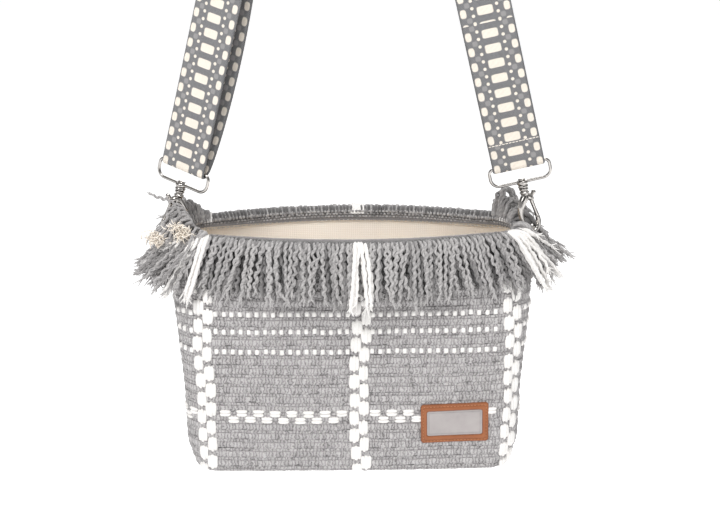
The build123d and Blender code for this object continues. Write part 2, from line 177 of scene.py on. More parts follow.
def place(around, s, lift, back=False):
    """Points lift proud of the cloth, on the front or mirrored to the back, and their normals."""
    d = 0.7 * MM
    middle = surface(around, s)
    along = surface(around + d, s) - surface(around - d, s)
    rise = surface(around, s + d) - surface(around, s - d)
    normal = np.cross(along, rise)
    normal /= np.linalg.norm(normal, axis=-1, keepdims=True) + 1e-12
    points = middle + normal * np.asarray(lift)[..., None]
    high = np.clip((np.asarray(s) - MOUTH_FROM) / MOUTH_OVER, 0, 1) ** 2
    central = np.clip(1 - (np.asarray(around) / MOUTH_REACH) ** 2, 0, 1)
    points[..., 2] += high * central * (BACK_RISE if back else FRONT_DIP)
    if back:
        points, normal = points * (1, -1, 1), normal * (1, -1, 1)
    return points, normal


def smooth_noise(x, y, seed):
    """Repeatable smooth noise between about -1 and 1."""
    local = np.random.default_rng(seed)
    total = 0
    for _ in range(5):
        kx, ky, phase = local.uniform(-1, 1), local.uniform(-1, 1), local.uniform(0, 6.28)
        total = total + np.sin(kx * x + ky * y + phase)
    return total / 2.5


# ------------------------------------------------------------------ mesh building
class Batch:
    """Collects grids of points into one mesh with a tone for each point; the tone holds each piece's own
    random tone and painted shade.
    """

    def __init__(self):
        self.points, self.quads, self.tones, self.count = [], [], [], 0

    def grid(self, points, tone=1.0, wrap=False, flip=False):
        rows, cols = points.shape[:2]
        index = np.arange(rows * cols).reshape(rows, cols) + self.count
        if wrap:
            index = np.concatenate([index, index[:, :1]], 1)
        quads = np.stack([index[:-1, :-1], index[:-1, 1:], index[1:, 1:], index[1:, :-1]], -1).reshape(-1, 4)
        self.quads.append(quads[:, ::-1] if flip else quads)
        self.points.append(points.reshape(-1, 3))
        self.tones.append(np.broadcast_to(tone, (rows, cols)).reshape(-1))
        self.count += rows * cols

    def build(self, name, material, body, slot, replaced=(), uv=None):
        points = np.concatenate(self.points)
        quads = np.concatenate(self.quads)
        mesh = bpy.data.meshes.new(name)
        mesh.vertices.add(len(points))
        mesh.vertices.foreach_set("co", points.astype(np.float32).ravel())
        mesh.loops.add(quads.size)
        mesh.loops.foreach_set("vertex_index", quads.astype(np.int32).ravel())
        mesh.polygons.add(len(quads))
        mesh.polygons.foreach_set("loop_start", np.arange(0, quads.size, 4, dtype=np.int32))
        mesh.polygons.foreach_set("use_smooth", np.full(len(quads), True))
        tone = mesh.attributes.new("tone", "FLOAT", "POINT")
        tone.data.foreach_set("value", np.concatenate(self.tones).astype(np.float32))
        if uv is not None:
            layer = mesh.uv_layers.new(name="cloth")
            layer.data.foreach_set("uv", uv[quads.ravel()].astype(np.float32).ravel())
        mesh.update(calc_edges=True)
        mesh.validate()
        mesh.materials.append(material)
        piece = bpy.data.objects.new(name, mesh)
        bpy.context.scene.collection.objects.link(piece)
        if body:
            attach(piece, body)
        if replaced:
            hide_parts(*replaced)
        return piece


def pillow(batch, around, s, width, height, rise, tone=1.0, back=False, res=6, sink=0.3 * MM, lean=0.0,
           roundness=0.42):
    """A soft rounded stitch of yarn standing on the cloth."""
    u, v = np.meshgrid(np.linspace(-1, 1, res), np.linspace(-1, 1, res), indexing="ij")
    su, sv = u * np.sqrt(1 - roundness * v * v), v * np.sqrt(1 - roundness * u * u)
    dome = np.clip((1 - np.abs(u) ** 3) * (1 - np.abs(v) ** 3), 0, 1) ** 0.5
    a = around + su * width / 2 + lean * sv * height / 2
    points, _ = place(a, s + sv * height / 2, rise * dome - sink, back)
    # The tone falls to 0.55 at the stitch's foot: painted shade where it meets the cloth.
    batch.grid(points, tone * (0.55 + 0.45 * dome), flip=back)


def tube(batch, path, radius, side, sides=10, lobes=0.0, turn=0.0, tone=1.0):
    """A round or two-ply strand along a path; side is a direction across the path."""
    path = np.asarray(path)
    tangent = np.gradient(path, axis=0)
    tangent /= np.linalg.norm(tangent, axis=1, keepdims=True) + 1e-12
    side = side - tangent * (tangent @ side)[:, None]
    side /= np.linalg.norm(side, axis=1, keepdims=True) + 1e-12
    other = np.cross(tangent, side)
    length = run_along(path)
    theta = np.linspace(0, 2 * math.pi, sides, endpoint=False)[None, :]
    phase = theta - (length * turn)[:, None]
    ply = np.cos(2 * phase)
    r = np.broadcast_to(radius, (len(path),))[:, None] * (1 + lobes * ply)
    ring = side[:, None] * np.cos(theta)[..., None] + other[:, None] * np.sin(theta)[..., None]
    points = path[:, None] + ring * r[..., None]
    # The tone dips in the groove between the two plies: painted shade.
    batch.grid(points, tone * (0.84 + 0.16 * ply if lobes else np.ones_like(r)), wrap=True)


# ------------------------------------------------------------------ materials
class Shader:
    """Short names for the nodes of one material."""

    def __init__(self, name):
        self.material = bpy.data.materials.new(name)
        self.material.use_nodes = True
        self.tree = self.material.node_tree
        self.bsdf = next(n for n in self.tree.nodes if n.type == "BSDF_PRINCIPLED")

    def node(self, kind, inputs=None, **props):
        made = self.tree.nodes.new(kind)
        for key, value in props.items():
            setattr(made, key, value)
        for key, value in (inputs or {}).items():
            self.set(made.inputs[key], value)
        return made

    def set(self, socket, value):
        if isinstance(value, bpy.types.NodeSocket):
            self.tree.links.new(value, socket)
        else:
            socket.default_value = value

    def math(self, operation, *values):
        return self.node("ShaderNodeMath", dict(enumerate(values)), operation=operation).outputs[0]

    def add(self, a, b):
        return self.math("ADD", a, b)

    def mul(self, a, b):
        return self.math("MULTIPLY", a, b)

    def scale(self, value, factor, offset):
        return self.math("MULTIPLY_ADD", value, factor, offset)

    def grey(self, value):
        return self.node("ShaderNodeCombineColor", {0: value, 1: value, 2: value}).outputs[0]

    def below(self, value, edge, soft):
        """1 where value is under edge, falling to 0 across soft to either side of it."""
        made = self.node("ShaderNodeMapRange", {0: value, 1: edge - soft, 2: edge + soft, 3: 1.0, 4: 0.0})
        return made.outputs[0]

    def tone(self):
        return self.node("ShaderNodeAttribute", attribute_name="tone").outputs["Fac"]

    def coords(self):
        return self.node("ShaderNodeTexCoord").outputs["Object"]

    def noise(self, scale, detail=2.0, vector=None):
        made = self.node("ShaderNodeTexNoise", {"Vector": vector or self.coords(), "Scale": scale,
                                                "Detail": detail, "Roughness": 0.6})
        return made.outputs["Fac"]

    def ramp(self, fac, *stops):
        made = self.node("ShaderNodeValToRGB", {"Fac": fac})
        ramp = made.color_ramp
        while len(ramp.elements) < len(stops):
            ramp.elements.new(0.5)
        for element, (place_at, color) in zip(ramp.elements, stops):
            element.position, element.color = place_at, (*color, 1)
        return made.outputs["Color"]

    def blend(self, fac, a, b, mode="MIX"):
        made = self.node("ShaderNodeMix", {0: fac, 6: a, 7: b}, data_type="RGBA", blend_type=mode)
        return made.outputs[2]

    def bump(self, height, strength, distance):
        inputs = {"Height": height, "Strength": strength, "Distance": distance}
        return self.node("ShaderNodeBump", inputs).outputs["Normal"]

    def finish(self, color, rough, normal=None, **values):
        self.set(self.bsdf.inputs["Base Color"], color)
        self.set(self.bsdf.inputs["Roughness"], rough)
        if normal is not None:
            self.set(self.bsdf.inputs["Normal"], normal)
        for key, value in values.items():
            self.bsdf.inputs[key.replace("_", " ")].default_value = value
        return self.material


def yarn_material(name, deep, mid, light, fuzz=0.4):
    """Matt cotton yarn: dark between strands (painted shade, carried by the tone), mottled along them, with
    fine fibres.
    """
    sh = Shader(name)
    mottle = sh.noise(260.0, 3.0)
    fibre = sh.noise(900.0, 4.0)
    level = sh.scale(mottle, 0.35, -0.17)
    # The tone brings painted shade between plies, at stitch feet and in the fringe's back layers, with a
    # random tone for each yarn.
    level = sh.add(sh.tone(), level)
    color = sh.ramp(level, (0.12, deep), (0.6, mid), (1.0, light))
    fleck = sh.scale(fibre, 0.34, 0.83)
    color = sh.blend(1.0, color, sh.grey(fleck), "MULTIPLY")
    normal = sh.bump(fibre, 0.5, 0.0006)
    rough = sh.scale(mottle, 0.15, 0.8)
    return sh.finish(color, rough, normal, Sheen_Weight=fuzz, Sheen_Roughness=0.6, Specular_IOR_Level=0.2)


def weave_material():
    """Chunky grey cloth: ribs of upright slubs with a row of small bumps between; darker in the grooves
    between them, painted shade.
    """
    sh = Shader("grey woven cotton")
    uv = sh.node("ShaderNodeUVMap", uv_map="cloth").outputs["UV"]       # units of 10 mm
    drift = sh.noise(1.2, 2.0, uv)
    split = sh.node("ShaderNodeSeparateXYZ", {0: uv})
    level = sh.add(sh.math("DIVIDE", split.outputs[1], BAND / MM / 10), sh.mul(drift, 0.25))
    row = sh.math("FLOOR", level)
    rise = sh.math("FRACT", level)
    bumps = sh.math("GREATER_THAN", rise, TALL)
    width = sh.add(sh.math("DIVIDE", split.outputs[0], SLUB / MM / 10), sh.mul(row, 0.618))
    width = sh.add(width, sh.mul(sh.noise(2.6, 3.0, uv), 2.6))
    cell = sh.node("ShaderNodeCombineXYZ", {0: sh.math("FLOOR", width), 1: row, 2: bumps})
    pick = sh.node("ShaderNodeTexWhiteNoise", {"Vector": cell.outputs[0]}).outputs["Value"]
    from_middle = sh.math("ABSOLUTE", sh.scale(sh.math("FRACT", width), 2.0, -1.0))
    groove = sh.math("POWER", from_middle, 2.2)
    tall_v = sh.add(sh.math("DIVIDE", rise, TALL), sh.scale(pick, 0.16, -0.08))
    low_v = sh.math("DIVIDE", sh.math("SUBTRACT", rise, TALL), 1 - TALL)
    v = sh.node("ShaderNodeMix", {0: bumps, 2: tall_v, 3: low_v}).outputs[0]
    v = sh.math("ABSOLUTE", sh.scale(v, 2.0, -1.0))
    ends = sh.math("POWER", v, 5.0)
    # Grooves between slubs and the ends of each slub: raised in the bump, darker in the colour as painted
    # shade.
    dark = sh.math("MAXIMUM", groove, sh.mul(ends, 0.85))
    fibre = sh.noise(14.0, 3.0, uv)
    height = sh.math("SUBTRACT", 1.0, dark)
    tone = sh.add(sh.mul(height, 0.62), sh.mul(pick, 0.30))
    tone = sh.add(tone, sh.scale(fibre, 0.7, -0.35))
    # The mesh's tone adds painted shade in the grooves and at the side seams.
    tone = sh.add(tone, sh.scale(sh.tone(), 0.35, -0.20))
    color = sh.ramp(tone,
                    (0.05, (0.09, 0.085, 0.085)), (0.42, (0.31, 0.295, 0.295)), (1.0, (0.56, 0.54, 0.54)))
    normal = sh.bump(sh.add(height, sh.mul(fibre, 0.5)), 0.7, 0.0012)
    return sh.finish(color, 0.9, normal, Sheen_Weight=0.25, Sheen_Roughness=0.6, Specular_IOR_Level=0.15)


GREY_WEAVE = weave_material()
GREY_YARN = yarn_material("grey fringe yarn",
                          (0.035, 0.033, 0.033), (0.205, 0.196, 0.195), (0.42, 0.405, 0.40))
WHITE_YARN = yarn_material("white cotton cord",
                           (0.30, 0.27, 0.25), (0.74, 0.715, 0.69), (0.82, 0.80, 0.78), 0.3)


def canvas_material():
    """Cream plain-weave canvas."""
    sh = Shader("cream canvas lining")
    coords = sh.coords()
    warp, weft = (sh.node("ShaderNodeTexWave", {"Vector": coords, "Scale": 210.0, "Distortion": 0.6},
                          bands_direction=axis).outputs["Fac"] for axis in "XZ")
    cloth = sh.mul(warp, weft)
    mottle = sh.noise(60.0, 4.0)
    level = sh.add(sh.scale(cloth, 0.22, 0.3), sh.mul(mottle, 0.4))
    # The mesh's tone darkens the canvas at the side seams: painted shade.
    color = sh.ramp(sh.mul(level, sh.tone()),
                    (0.0, (0.70, 0.60, 0.50)), (0.35, (1.0, 0.90, 0.79)), (1.0, (1.0, 0.97, 0.91)))
    normal = sh.bump(cloth, 0.35, 0.0005)
    return sh.finish(color, 0.85, normal, Sheen_Weight=0.2, Specular_IOR_Level=0.2)


def webbing_material():
    """Grey and cream jacquard: bars down the middle, dots beside them, ovals at the edges."""
    sh = Shader("jacquard webbing")
    uv = sh.node("ShaderNodeUVMap", uv_map="cloth").outputs["UV"]
    split = sh.node("ShaderNodeSeparateXYZ", {0: uv})
    across, along = split.outputs[0], split.outputs[1]      # both in units of 10 mm
    pitch = 1.16                                            # one bar of the pattern
    off = sh.math("ABSOLUTE", across)
    step = sh.math("FRACT", sh.math("DIVIDE", along, pitch))
    from_bar = sh.mul(sh.math("ABSOLUTE", sh.math("SUBTRACT", step, 0.5)), pitch)
    half_step = sh.math("FRACT", sh.add(sh.math("DIVIDE", along, pitch), 0.5))
    from_half = sh.mul(sh.math("ABSOLUTE", sh.math("SUBTRACT", half_step, 0.5)), pitch)
    dot_step = sh.math("FRACT", sh.math("DIVIDE", along, pitch / 2))
    from_dot = sh.mul(sh.math("ABSOLUTE", sh.math("SUBTRACT", dot_step, 0.5)), pitch / 2)

    def patch(from_x, half_x, from_y, half_y, power, soft):
        a = sh.math("POWER", sh.math("DIVIDE", from_x, half_x), power)
        b = sh.math("POWER", sh.math("DIVIDE", from_y, half_y), power)
        return sh.below(sh.add(a, b), 1.0, soft)

    def away(centre):
        return sh.math("ABSOLUTE", sh.math("SUBTRACT", off, centre))

    bars = patch(off, 0.60, from_bar, 0.33, 6.0, 0.35)
    dots = patch(away(0.93), 0.125, from_dot, 0.125, 2.0, 0.3)
    ovals = patch(away(1.64), 0.23, from_bar, 0.33, 3.0, 0.3)
    pale = sh.math("MAXIMUM", bars, sh.math("MAXIMUM", dots, ovals))
    melange = patch(away(1.26), 0.20, from_half, 0.2, 3.0, 0.5)

    ribs = sh.math("SINE", sh.mul(across, 70.0))
    picks = sh.math("SINE", sh.mul(along, 78.0))
    slant = sh.math("SINE", sh.add(sh.mul(across, 62.0), sh.mul(along, 40.0)))
    fine = sh.noise(700.0, 3.0)
    ground = sh.ramp(sh.add(sh.scale(slant, 0.26, 0.40), sh.mul(fine, 0.4)),
                     (0.15, (0.06, 0.06, 0.064)), (0.5, (0.145, 0.145, 0.15)), (1.0, (0.27, 0.27, 0.275)))
    ground = sh.blend(sh.mul(melange, 0.6), ground, (0.33, 0.32, 0.315, 1))
    cream = sh.ramp(sh.add(sh.scale(ribs, 0.3, 0.5), sh.mul(fine, 0.3)),
                    (0.1, (0.50, 0.44, 0.37)), (0.6, (0.76, 0.69, 0.60)), (1.0, (0.86, 0.80, 0.72)))
    color = sh.blend(pale, ground, cream)
    # The mesh's tone darkens the rounded edges: painted shade.
    color = sh.blend(1.0, color, sh.grey(sh.tone()), "MULTIPLY")
    relief = sh.add(sh.mul(ribs, 0.25), sh.mul(picks, 0.2))
    relief = sh.add(relief, sh.mul(pale, 1.6))
    normal = sh.bump(relief, 0.5, 0.0004)
    return sh.finish(color, 0.82, normal, Sheen_Weight=0.15, Specular_IOR_Level=0.25)


def leather_material(name, dark, mid, light, scale=420.0):
    """Leather: fine pebble grain, darker where its tone is low: painted shade at its edges and in its low
    steps.
    """
    sh = Shader(name)
    cells = sh.node("ShaderNodeTexVoronoi", {"Vector": sh.coords(), "Scale": scale * 3}).outputs["Distance"]
    cloud = sh.noise(scale / 6, 4.0)
    level = sh.mul(sh.scale(cloud, 0.6, 0.35), sh.tone())
    color = sh.ramp(level, (0.1, dark), (0.6, mid), (1.0, light))
    normal = sh.bump(cells, 0.25, 0.0002)
    return sh.finish(color, sh.scale(cloud, 0.2, 0.35), normal, Specular_IOR_Level=0.4)


def metal_material(name, color, rough):
    """Plated metal: polished, with faint wear in its roughness, and painted reflections: dark and pale bands
    by which way each surface faces.
    """
    sh = Shader(name)
    haze = sh.noise(320.0, 3.0)
    # Painted reflections: a ramp over the normal's height and side gives dark and pale bands, as a lit room
    # would mirror in the plating.
    reflection_facing = sh.node("ShaderNodeSeparateXYZ", {0: sh.node("ShaderNodeNewGeometry").outputs["Normal"]})
    level = sh.scale(reflection_facing.outputs[2], 0.5, 0.5)
    level = sh.add(level, sh.scale(reflection_facing.outputs[0], 0.14, -0.05))
    level = sh.add(level, sh.scale(sh.noise(90.0, 2.0), 0.05, -0.025))
    dark, pale = tuple(c * 0.2 for c in color), tuple(min(c * 1.5, 1) for c in color)
    painted_reflection = sh.ramp(level, (0.08, dark), (0.34, color), (0.48, pale),
                   (0.64, dark), (0.8, color), (0.95, pale))
    normal = sh.bump(haze, 0.05, 0.0002)
    return sh.finish(painted_reflection, sh.scale(haze, 0.12, rough), normal, Metallic=1.0)


CANVAS = canvas_material()
WEBBING = webbing_material()
TAN = leather_material("tan leather", (0.07, 0.022, 0.008), (0.27, 0.085, 0.028), (0.37, 0.13, 0.045))
PLATE = leather_material("grey leather inlay",
                         (0.16, 0.15, 0.145), (0.36, 0.33, 0.325), (0.44, 0.41, 0.40), 500.0)
RAW_COTTON = yarn_material("raw cream cotton", (0.36, 0.30, 0.24), (0.76, 0.67, 0.56), (0.88, 0.81, 0.72))
THREAD = yarn_material("tan thread", (0.12, 0.04, 0.018), (0.36, 0.14, 0.06), (0.46, 0.2, 0.09), 0.1)
NICKEL = metal_material("dark nickel", (0.46, 0.44, 0.42), 0.14)
STEEL = metal_material("spring steel", (0.6, 0.6, 0.6), 0.3)

# ------------------------------------------------------------------ camera, light and floor
SWIVEL_Z = JOINTS["left_swivel"]["pos_m"][2]
AIM = Vector((0.006, 0.0, SWIVEL_Z - 0.0560))
AZIMUTH, ELEVATION, DISTANCE, LENS = math.radians(-1.5), math.radians(18.5), 1.45, 94.3


def make_camera():
    data = bpy.data.cameras.new("camera")
    data.lens = LENS
    data.clip_start, data.clip_end = 0.01, 120
    camera = bpy.data.objects.new("camera", data)
    level = math.cos(ELEVATION)
    away = Vector((math.sin(AZIMUTH) * level, -math.cos(AZIMUTH) * level, math.sin(ELEVATION)))
    camera.location = AIM + away * DISTANCE
    camera.rotation_euler = (-away).to_track_quat("-Z", "Y").to_euler()
    bpy.context.scene.collection.objects.link(camera)
    bpy.context.scene.camera = camera


def area_light(name, offset, size, energy):
    data = bpy.data.lights.new(name, "AREA")
    data.shape, data.size, data.energy = "DISK", size, energy
    lamp = bpy.data.objects.new(name, data)
    lamp.location = AIM + Vector(offset)
    lamp.rotation_euler = (-Vector(offset)).to_track_quat("-Z", "Y").to_euler()
    bpy.context.scene.collection.objects.link(lamp)


LIGHTS = (      # name, offset from the aim in metres, size in metres, watts
    ("key", (-1.0, -1.1, 1.4), 0.6, 20),
    ("fill", (1.3, -1.3, 0.3), 0.8, 5),
    ("top", (0.1, -0.5, 1.5), 0.8, 13),
    ("rim", (0.3, 1.5, 0.7), 1.2, 8),
)
FLOOR_HALF, FLOOR_DROP = 30.0, 0.35     # the bag hangs clear of the floor


def make_stage():
    world = bpy.data.worlds.new("studio")
    world.use_nodes = True
    background = world.node_tree.nodes["Background"]
    background.inputs["Color"].default_value = (1.0, 1.0, 1.0, 1)
    background.inputs["Strength"].default_value = 0.46
    bpy.context.scene.world = world
    for light in LIGHTS:
        area_light(*light)
    bpy.context.scene.view_settings.view_transform = "Standard"
    sh = Shader("pale floor")
    cloud = sh.noise(3.0, 2.0)
    material = sh.finish(sh.ramp(cloud, (0.3, (0.93, 0.93, 0.93)), (0.7, (0.95, 0.95, 0.95))), 0.9,
                         Emission_Color=(1, 1, 1, 1), Emission_Strength=0.54)
    mesh = bpy.data.meshes.new("floor")
    corners = ((-1, -1), (1, -1), (1, 1), (-1, 1))
    mesh.from_pydata([(x * FLOOR_HALF, y * FLOOR_HALF, BASE_Z - FLOOR_DROP) for x, y in corners],
                     [], [(0, 1, 2, 3)])
    mesh.materials.append(material)
    floor = bpy.data.objects.new("floor", mesh)
    bpy.context.scene.collection.objects.link(floor)


make_camera()
make_stage()

# ------------------------------------------------------------------ woven panels
COLUMNS = (-0.1135, 0.005, 0.122)       # white cords, distance round from the front's middle
COLUMN_HALF = 8.2 * MM
ROW_PITCH = 14.9 * MM
DOT_ROWS = (0.1300, 0.1163, 0.1002)     # heights
DOT_PITCH = 6.25 * MM
DASH_ROWS = (0.0497, 0.0443)
LABEL_AT = (0.0780, 0.0405)             # distance round from the front's middle, height
DASH_PITCH = 12.8 * MM
ROW_REACH = 0.15                        # rows of dots and dashes run this far from the middle at most
GRID = 0.86 * MM                        # mesh of the woven walls


def weave(around, s):
    """Relief of the grey cloth: rounded ribs of upright slubs, each followed by a row of small bumps; also a
    tone with painted shade in the grooves.
    """
    band = s / BAND + 0.10 * smooth_noise(around * 55, s * 40, 3)
    row = np.floor(band)
    f = band - row
    bumps = f > TALL
    v = np.where(bumps, (f - TALL) / (1 - TALL), f / TALL)
    rise = np.clip(1 - np.abs(2 * v - 1) ** np.where(bumps, 2.0, 4.0), 0, 1) ** 0.5
    width = around / SLUB + 0.618 * row + 0.35 * smooth_noise(around * 90, row * 1.7, 5)
    cross = np.sqrt(np.clip(1 - (2 * (width % 1) - 1) ** 2, 0, 1))
    pick = np.sin(np.floor(width) * 78.233 + row * 37.719) * 43758.5453
    pick = pick - np.floor(pick)
    relief = rise * np.where(bumps, 0.55, 1.0) * (0.55 + 0.3 * cross + 0.3 * pick)
    # The tone is darker where the ribs and slubs fall away: painted shade in the grooves; the pick term is
    # each slub's own random tone.
    tone = 0.30 + 0.42 * rise + 0.16 * cross + 0.24 * (pick - 0.5)
    return relief * 1.15 * MM, tone


def make_panel(back):
    """One woven wall with its half of the base."""
    half = int(seam_at(BAG_H * 0.85) / GRID)
    q = np.linspace(-1, 1, 2 * half + 1)
    s = np.linspace(-UNDER, BAG_H, int((UNDER + BAG_H) / GRID))
    s_grid, q_grid = np.meshgrid(s, q, indexing="ij")
    around = q_grid * seam_at(s_grid)
    relief, tone = weave(around, s_grid + UNDER)
    seam = np.clip((1 - np.abs(q_grid)) * seam_at(s_grid) / (3 * MM), 0, 1)
    relief = relief * seam - (1 - seam) * 1.2 * MM
    points, _ = place(around, s_grid, relief, back)
    batch = Batch()
    # The tone darkens towards the side seam, where the cloth dips in: painted shade.
    batch.grid(points, tone * (0.5 + 0.5 * seam), flip=back)
    side = wall_name(back)
    uv = np.stack([around * 100, (s_grid + UNDER) * 100], -1).reshape(-1, 2)
    cloth = batch.build(f"{side}_woven_cloth", GREY_WEAVE, "bag", "grey_weave", [f"{side}_panel"], uv)


def from_column(around):
    """Distance to the nearest white cord."""
    return min(abs(around - c) for c in COLUMNS)


def wander(s, seed):
    """Sideways drift of a cord at a height."""
    return 1.0 * MM * math.sin(s * 43 + seed * 2.1) + 0.6 * MM * math.sin(s * 111 + seed)


def near_label(around, s, back):
    return not back and abs(around - LABEL_AT[0]) < 26 * MM and abs(s - LABEL_AT[1]) < 17 * MM


def make_white_cords(back):
    """Thick white cords up the cloth, rows of dots and rows of dashes."""
    cords, ticks, spots = Batch(), Batch(), Batch()
    side = wall_name(back)
    for c, column in enumerate(COLUMNS):
        for strand in (-1, 1):
            start = -UNDER + 0.004 + (ROW_PITCH / 2 if strand > 0 else 0)
            for k in range(int((BAG_H + UNDER) / ROW_PITCH)):
                s = start + k * ROW_PITCH + rng.normal(0, 0.4 * MM)
                middle = column + strand * 3.55 * MM + wander(s, c + 3 * back)
                wide = rng.uniform(0.92, 1.08)
                tall = ROW_PITCH + 0.2 * MM
                for thread in (-1, 0, 1):
                    rise = (2.9 + rng.uniform(-0.25, 0.25)) * MM - abs(thread) * 0.5 * MM
                    pillow(cords, middle + thread * 2.2 * MM * wide, s, 3.9 * MM * wide,
                           tall - abs(thread) * 2.2 * MM, rise, rng.uniform(0.96, 1.06), back, 9,
                           lean=rng.normal(0, 0.03))
                pillow(ticks, middle - strand * 0.5 * MM, s + ROW_PITCH / 2 + rng.normal(0, 0.2 * MM),
                       5.6 * MM, 1.2 * MM, 1.9 * MM, rng.uniform(0.9, 1.15), back, 7)
    reach = int(ROW_REACH / DOT_PITCH)
    for s in DOT_ROWS:
        for k in range(-reach, reach + 1):
            around = (k + 0.5) * DOT_PITCH + COLUMNS[1]
            if from_column(around) < COLUMN_HALF or abs(around) > seam_at(s) - 4 * MM:
                continue
            pillow(spots, around + rng.normal(0, 0.2 * MM), s + rng.normal(0, 0.2 * MM), 3.7 * MM, 4.9 * MM,
                   (2.5 + rng.uniform(-0.2, 0.2)) * MM, rng.uniform(0.97, 1.08), back, 8, roundness=0.16)
    reach = int(ROW_REACH / DASH_PITCH)
    for row, s in enumerate(DASH_ROWS):
        for k in range(-reach, reach + 1):
            around = (k + 0.5 * row + 0.3) * DASH_PITCH
            if from_column(around) < COLUMN_HALF + 2 * MM or abs(around) > seam_at(s) - 6 * MM:
                continue
            if near_label(around, s, back):
                continue
            for thread in (-1, 1):
                pillow(spots, around, s + thread * 1.3 * MM + rng.normal(0, 0.15 * MM), 9.6 * MM, 3.2 * MM,
                       (2.5 + rng.uniform(-0.2, 0.2)) * MM, rng.uniform(0.96, 1.06), back, 9)
    cords.build(f"{side}_white_cords", WHITE_YARN, "bag", "white_cord", [f"{side}_accent_cords"])
    ticks.build(f"{side}_cord_ties", GREY_YARN, "bag", "grey_yarn")
    spots.build(f"{side}_white_picks", WHITE_YARN, "bag", "white_cord")


for is_back in WALLS:
    make_panel(is_back)
    make_white_cords(is_back)

# ------------------------------------------------------------------ lining and rim
LINING_IN = 3.6 * MM
WALL_IN = 3.5 * MM       # rise of the lining above the base
HEM = 7.5 * MM
HEM_STEP = 0.2 * MM      # the hem stands this far off the canvas
EDGE_BAND = 4.6 * MM     # grey woven edge above the canvas, inside the rim


def make_lining(back):
    """Canvas lining with a turned hem and a row of stitches."""
    q = np.linspace(-1, 1, 171)
    top = BAG_H - EDGE_BAND + 0.5 * MM
    s = np.concatenate([np.linspace(-UNDER, BAG_H - HEM, 90), np.linspace(BAG_H - HEM + HEM_STEP, top, 14)])
    s_grid, q_grid = np.meshgrid(s, q, indexing="ij")
    around = q_grid * seam_at(s_grid)
    fold = 0.8 * MM * smooth_noise(around * 60, s_grid * 35, 21) * np.clip((BAG_H - s_grid) / 0.02, 0, 1)
    hem = np.where(s_grid > BAG_H - HEM, HEM_STEP, 0)
    inner, _ = place(around, np.maximum(s_grid, 0), -(LINING_IN + hem) + fold, back)
    low = s_grid < 0
    inner[..., 1] = np.where(low, inner[..., 1] * (1 - np.clip(-s_grid / UNDER, 0, 1)), inner[..., 1])
    inner[..., 2] += np.clip(1 - s_grid / 0.02, 0, 1) * WALL_IN
    seam = np.clip((1 - np.abs(q_grid)) * 0.15 / (2 * MM), 0, 1)
    batch = Batch()
    # The tone falls to 0.75 at the side seams: painted shade.
    batch.grid(inner, 0.75 + 0.25 * seam, flip=not back)
    side = wall_name(back)
    lining = batch.build(f"{side}_canvas_lining", CANVAS, "bag", "canvas_lining",
                         [f"{side}_lining", f"{side}_rim_tape"])
    stitches = Batch()
    end = seam_at(BAG_H) - 6 * MM
    for around_at in np.arange(-end, end, 3.4 * MM):
        pillow(stitches, around_at, BAG_H - HEM + 1 * MM, 2.3 * MM, 0.8 * MM, -0.5 * MM, 1.0, back, 4,
               sink=LINING_IN + 0.75 * MM)
    stitches.build(f"{side}_hem_stitches", WHITE_YARN, "bag", "white_cord")


def make_rim(back):
    """Grey woven edge inside the rim: three rows of pebbly stitches above the canvas."""
    batch = Batch()
    whole = seam_at(BAG_H)
    q = np.linspace(-1, 1, 300)
    turn = np.linspace(0, math.pi, 9)
    q_grid, t_grid = np.meshgrid(q, turn, indexing="ij")
    around = q_grid * whole
    lift = -LINING_IN / 2 - np.cos(t_grid) * 2.9 * MM
    points, _ = place(around, np.full_like(around, BAG_H - 1 * MM), lift, back)
    points[..., 2] = RIM_Z - EDGE_BAND + np.sin(t_grid) ** 0.4 * (EDGE_BAND + 1.2 * MM)
    batch.grid(points, 0.55, flip=not back)
    for row in range(3):
        s = BAG_H - EDGE_BAND + (0.9 + row * 1.9) * MM
        for around_at in np.arange(-whole + 2 * MM, whole - 2 * MM, 2.7 * MM):
            pillow(batch, around_at + (row % 2) * 1.3 * MM + rng.normal(0, 0.25 * MM), s, 2.6 * MM, 1.9 * MM,
                   -1.1 * MM, rng.uniform(0.6, 1.1), back, 5, sink=LINING_IN + 0.7 * MM)
    side = wall_name(back)
    batch.build(f"{side}_woven_edge", GREY_YARN, "bag", "grey_yarn")


for is_back in WALLS:
    make_lining(is_back)
    make_rim(is_back)

# ------------------------------------------------------------------ fringe
FRINGE_R = 1.28 * MM
FRINGE_LEN = 55 * MM
PLY_TURN = 2 * math.pi / (7.5 * MM)     # twist of the two plies
RISE_PITCH, TURN_OVER = math.radians(78), math.radians(105)     # a yarn leaves the rim, then turns over it
OVER_RUN = 7.5 * MM                     # length of yarn that the turn takes
TASSEL_YARNS = 9
TUFT_YARNS, CORNER_YARNS, PALE_YARNS = 46, 26, 7        # on each wall, and pale ones in front only


def rim_frame(around, back):
    """Rim point with its outward and sideways directions; sideways points toward larger X in front."""
    point, normal = place(np.array([around]), np.array([BAG_H - 0.5 * MM]), np.array([0.0]), back)
    outward = unit(normal[0] * (1, 1, 0))
    return point[0], outward, np.cross(UP, outward)


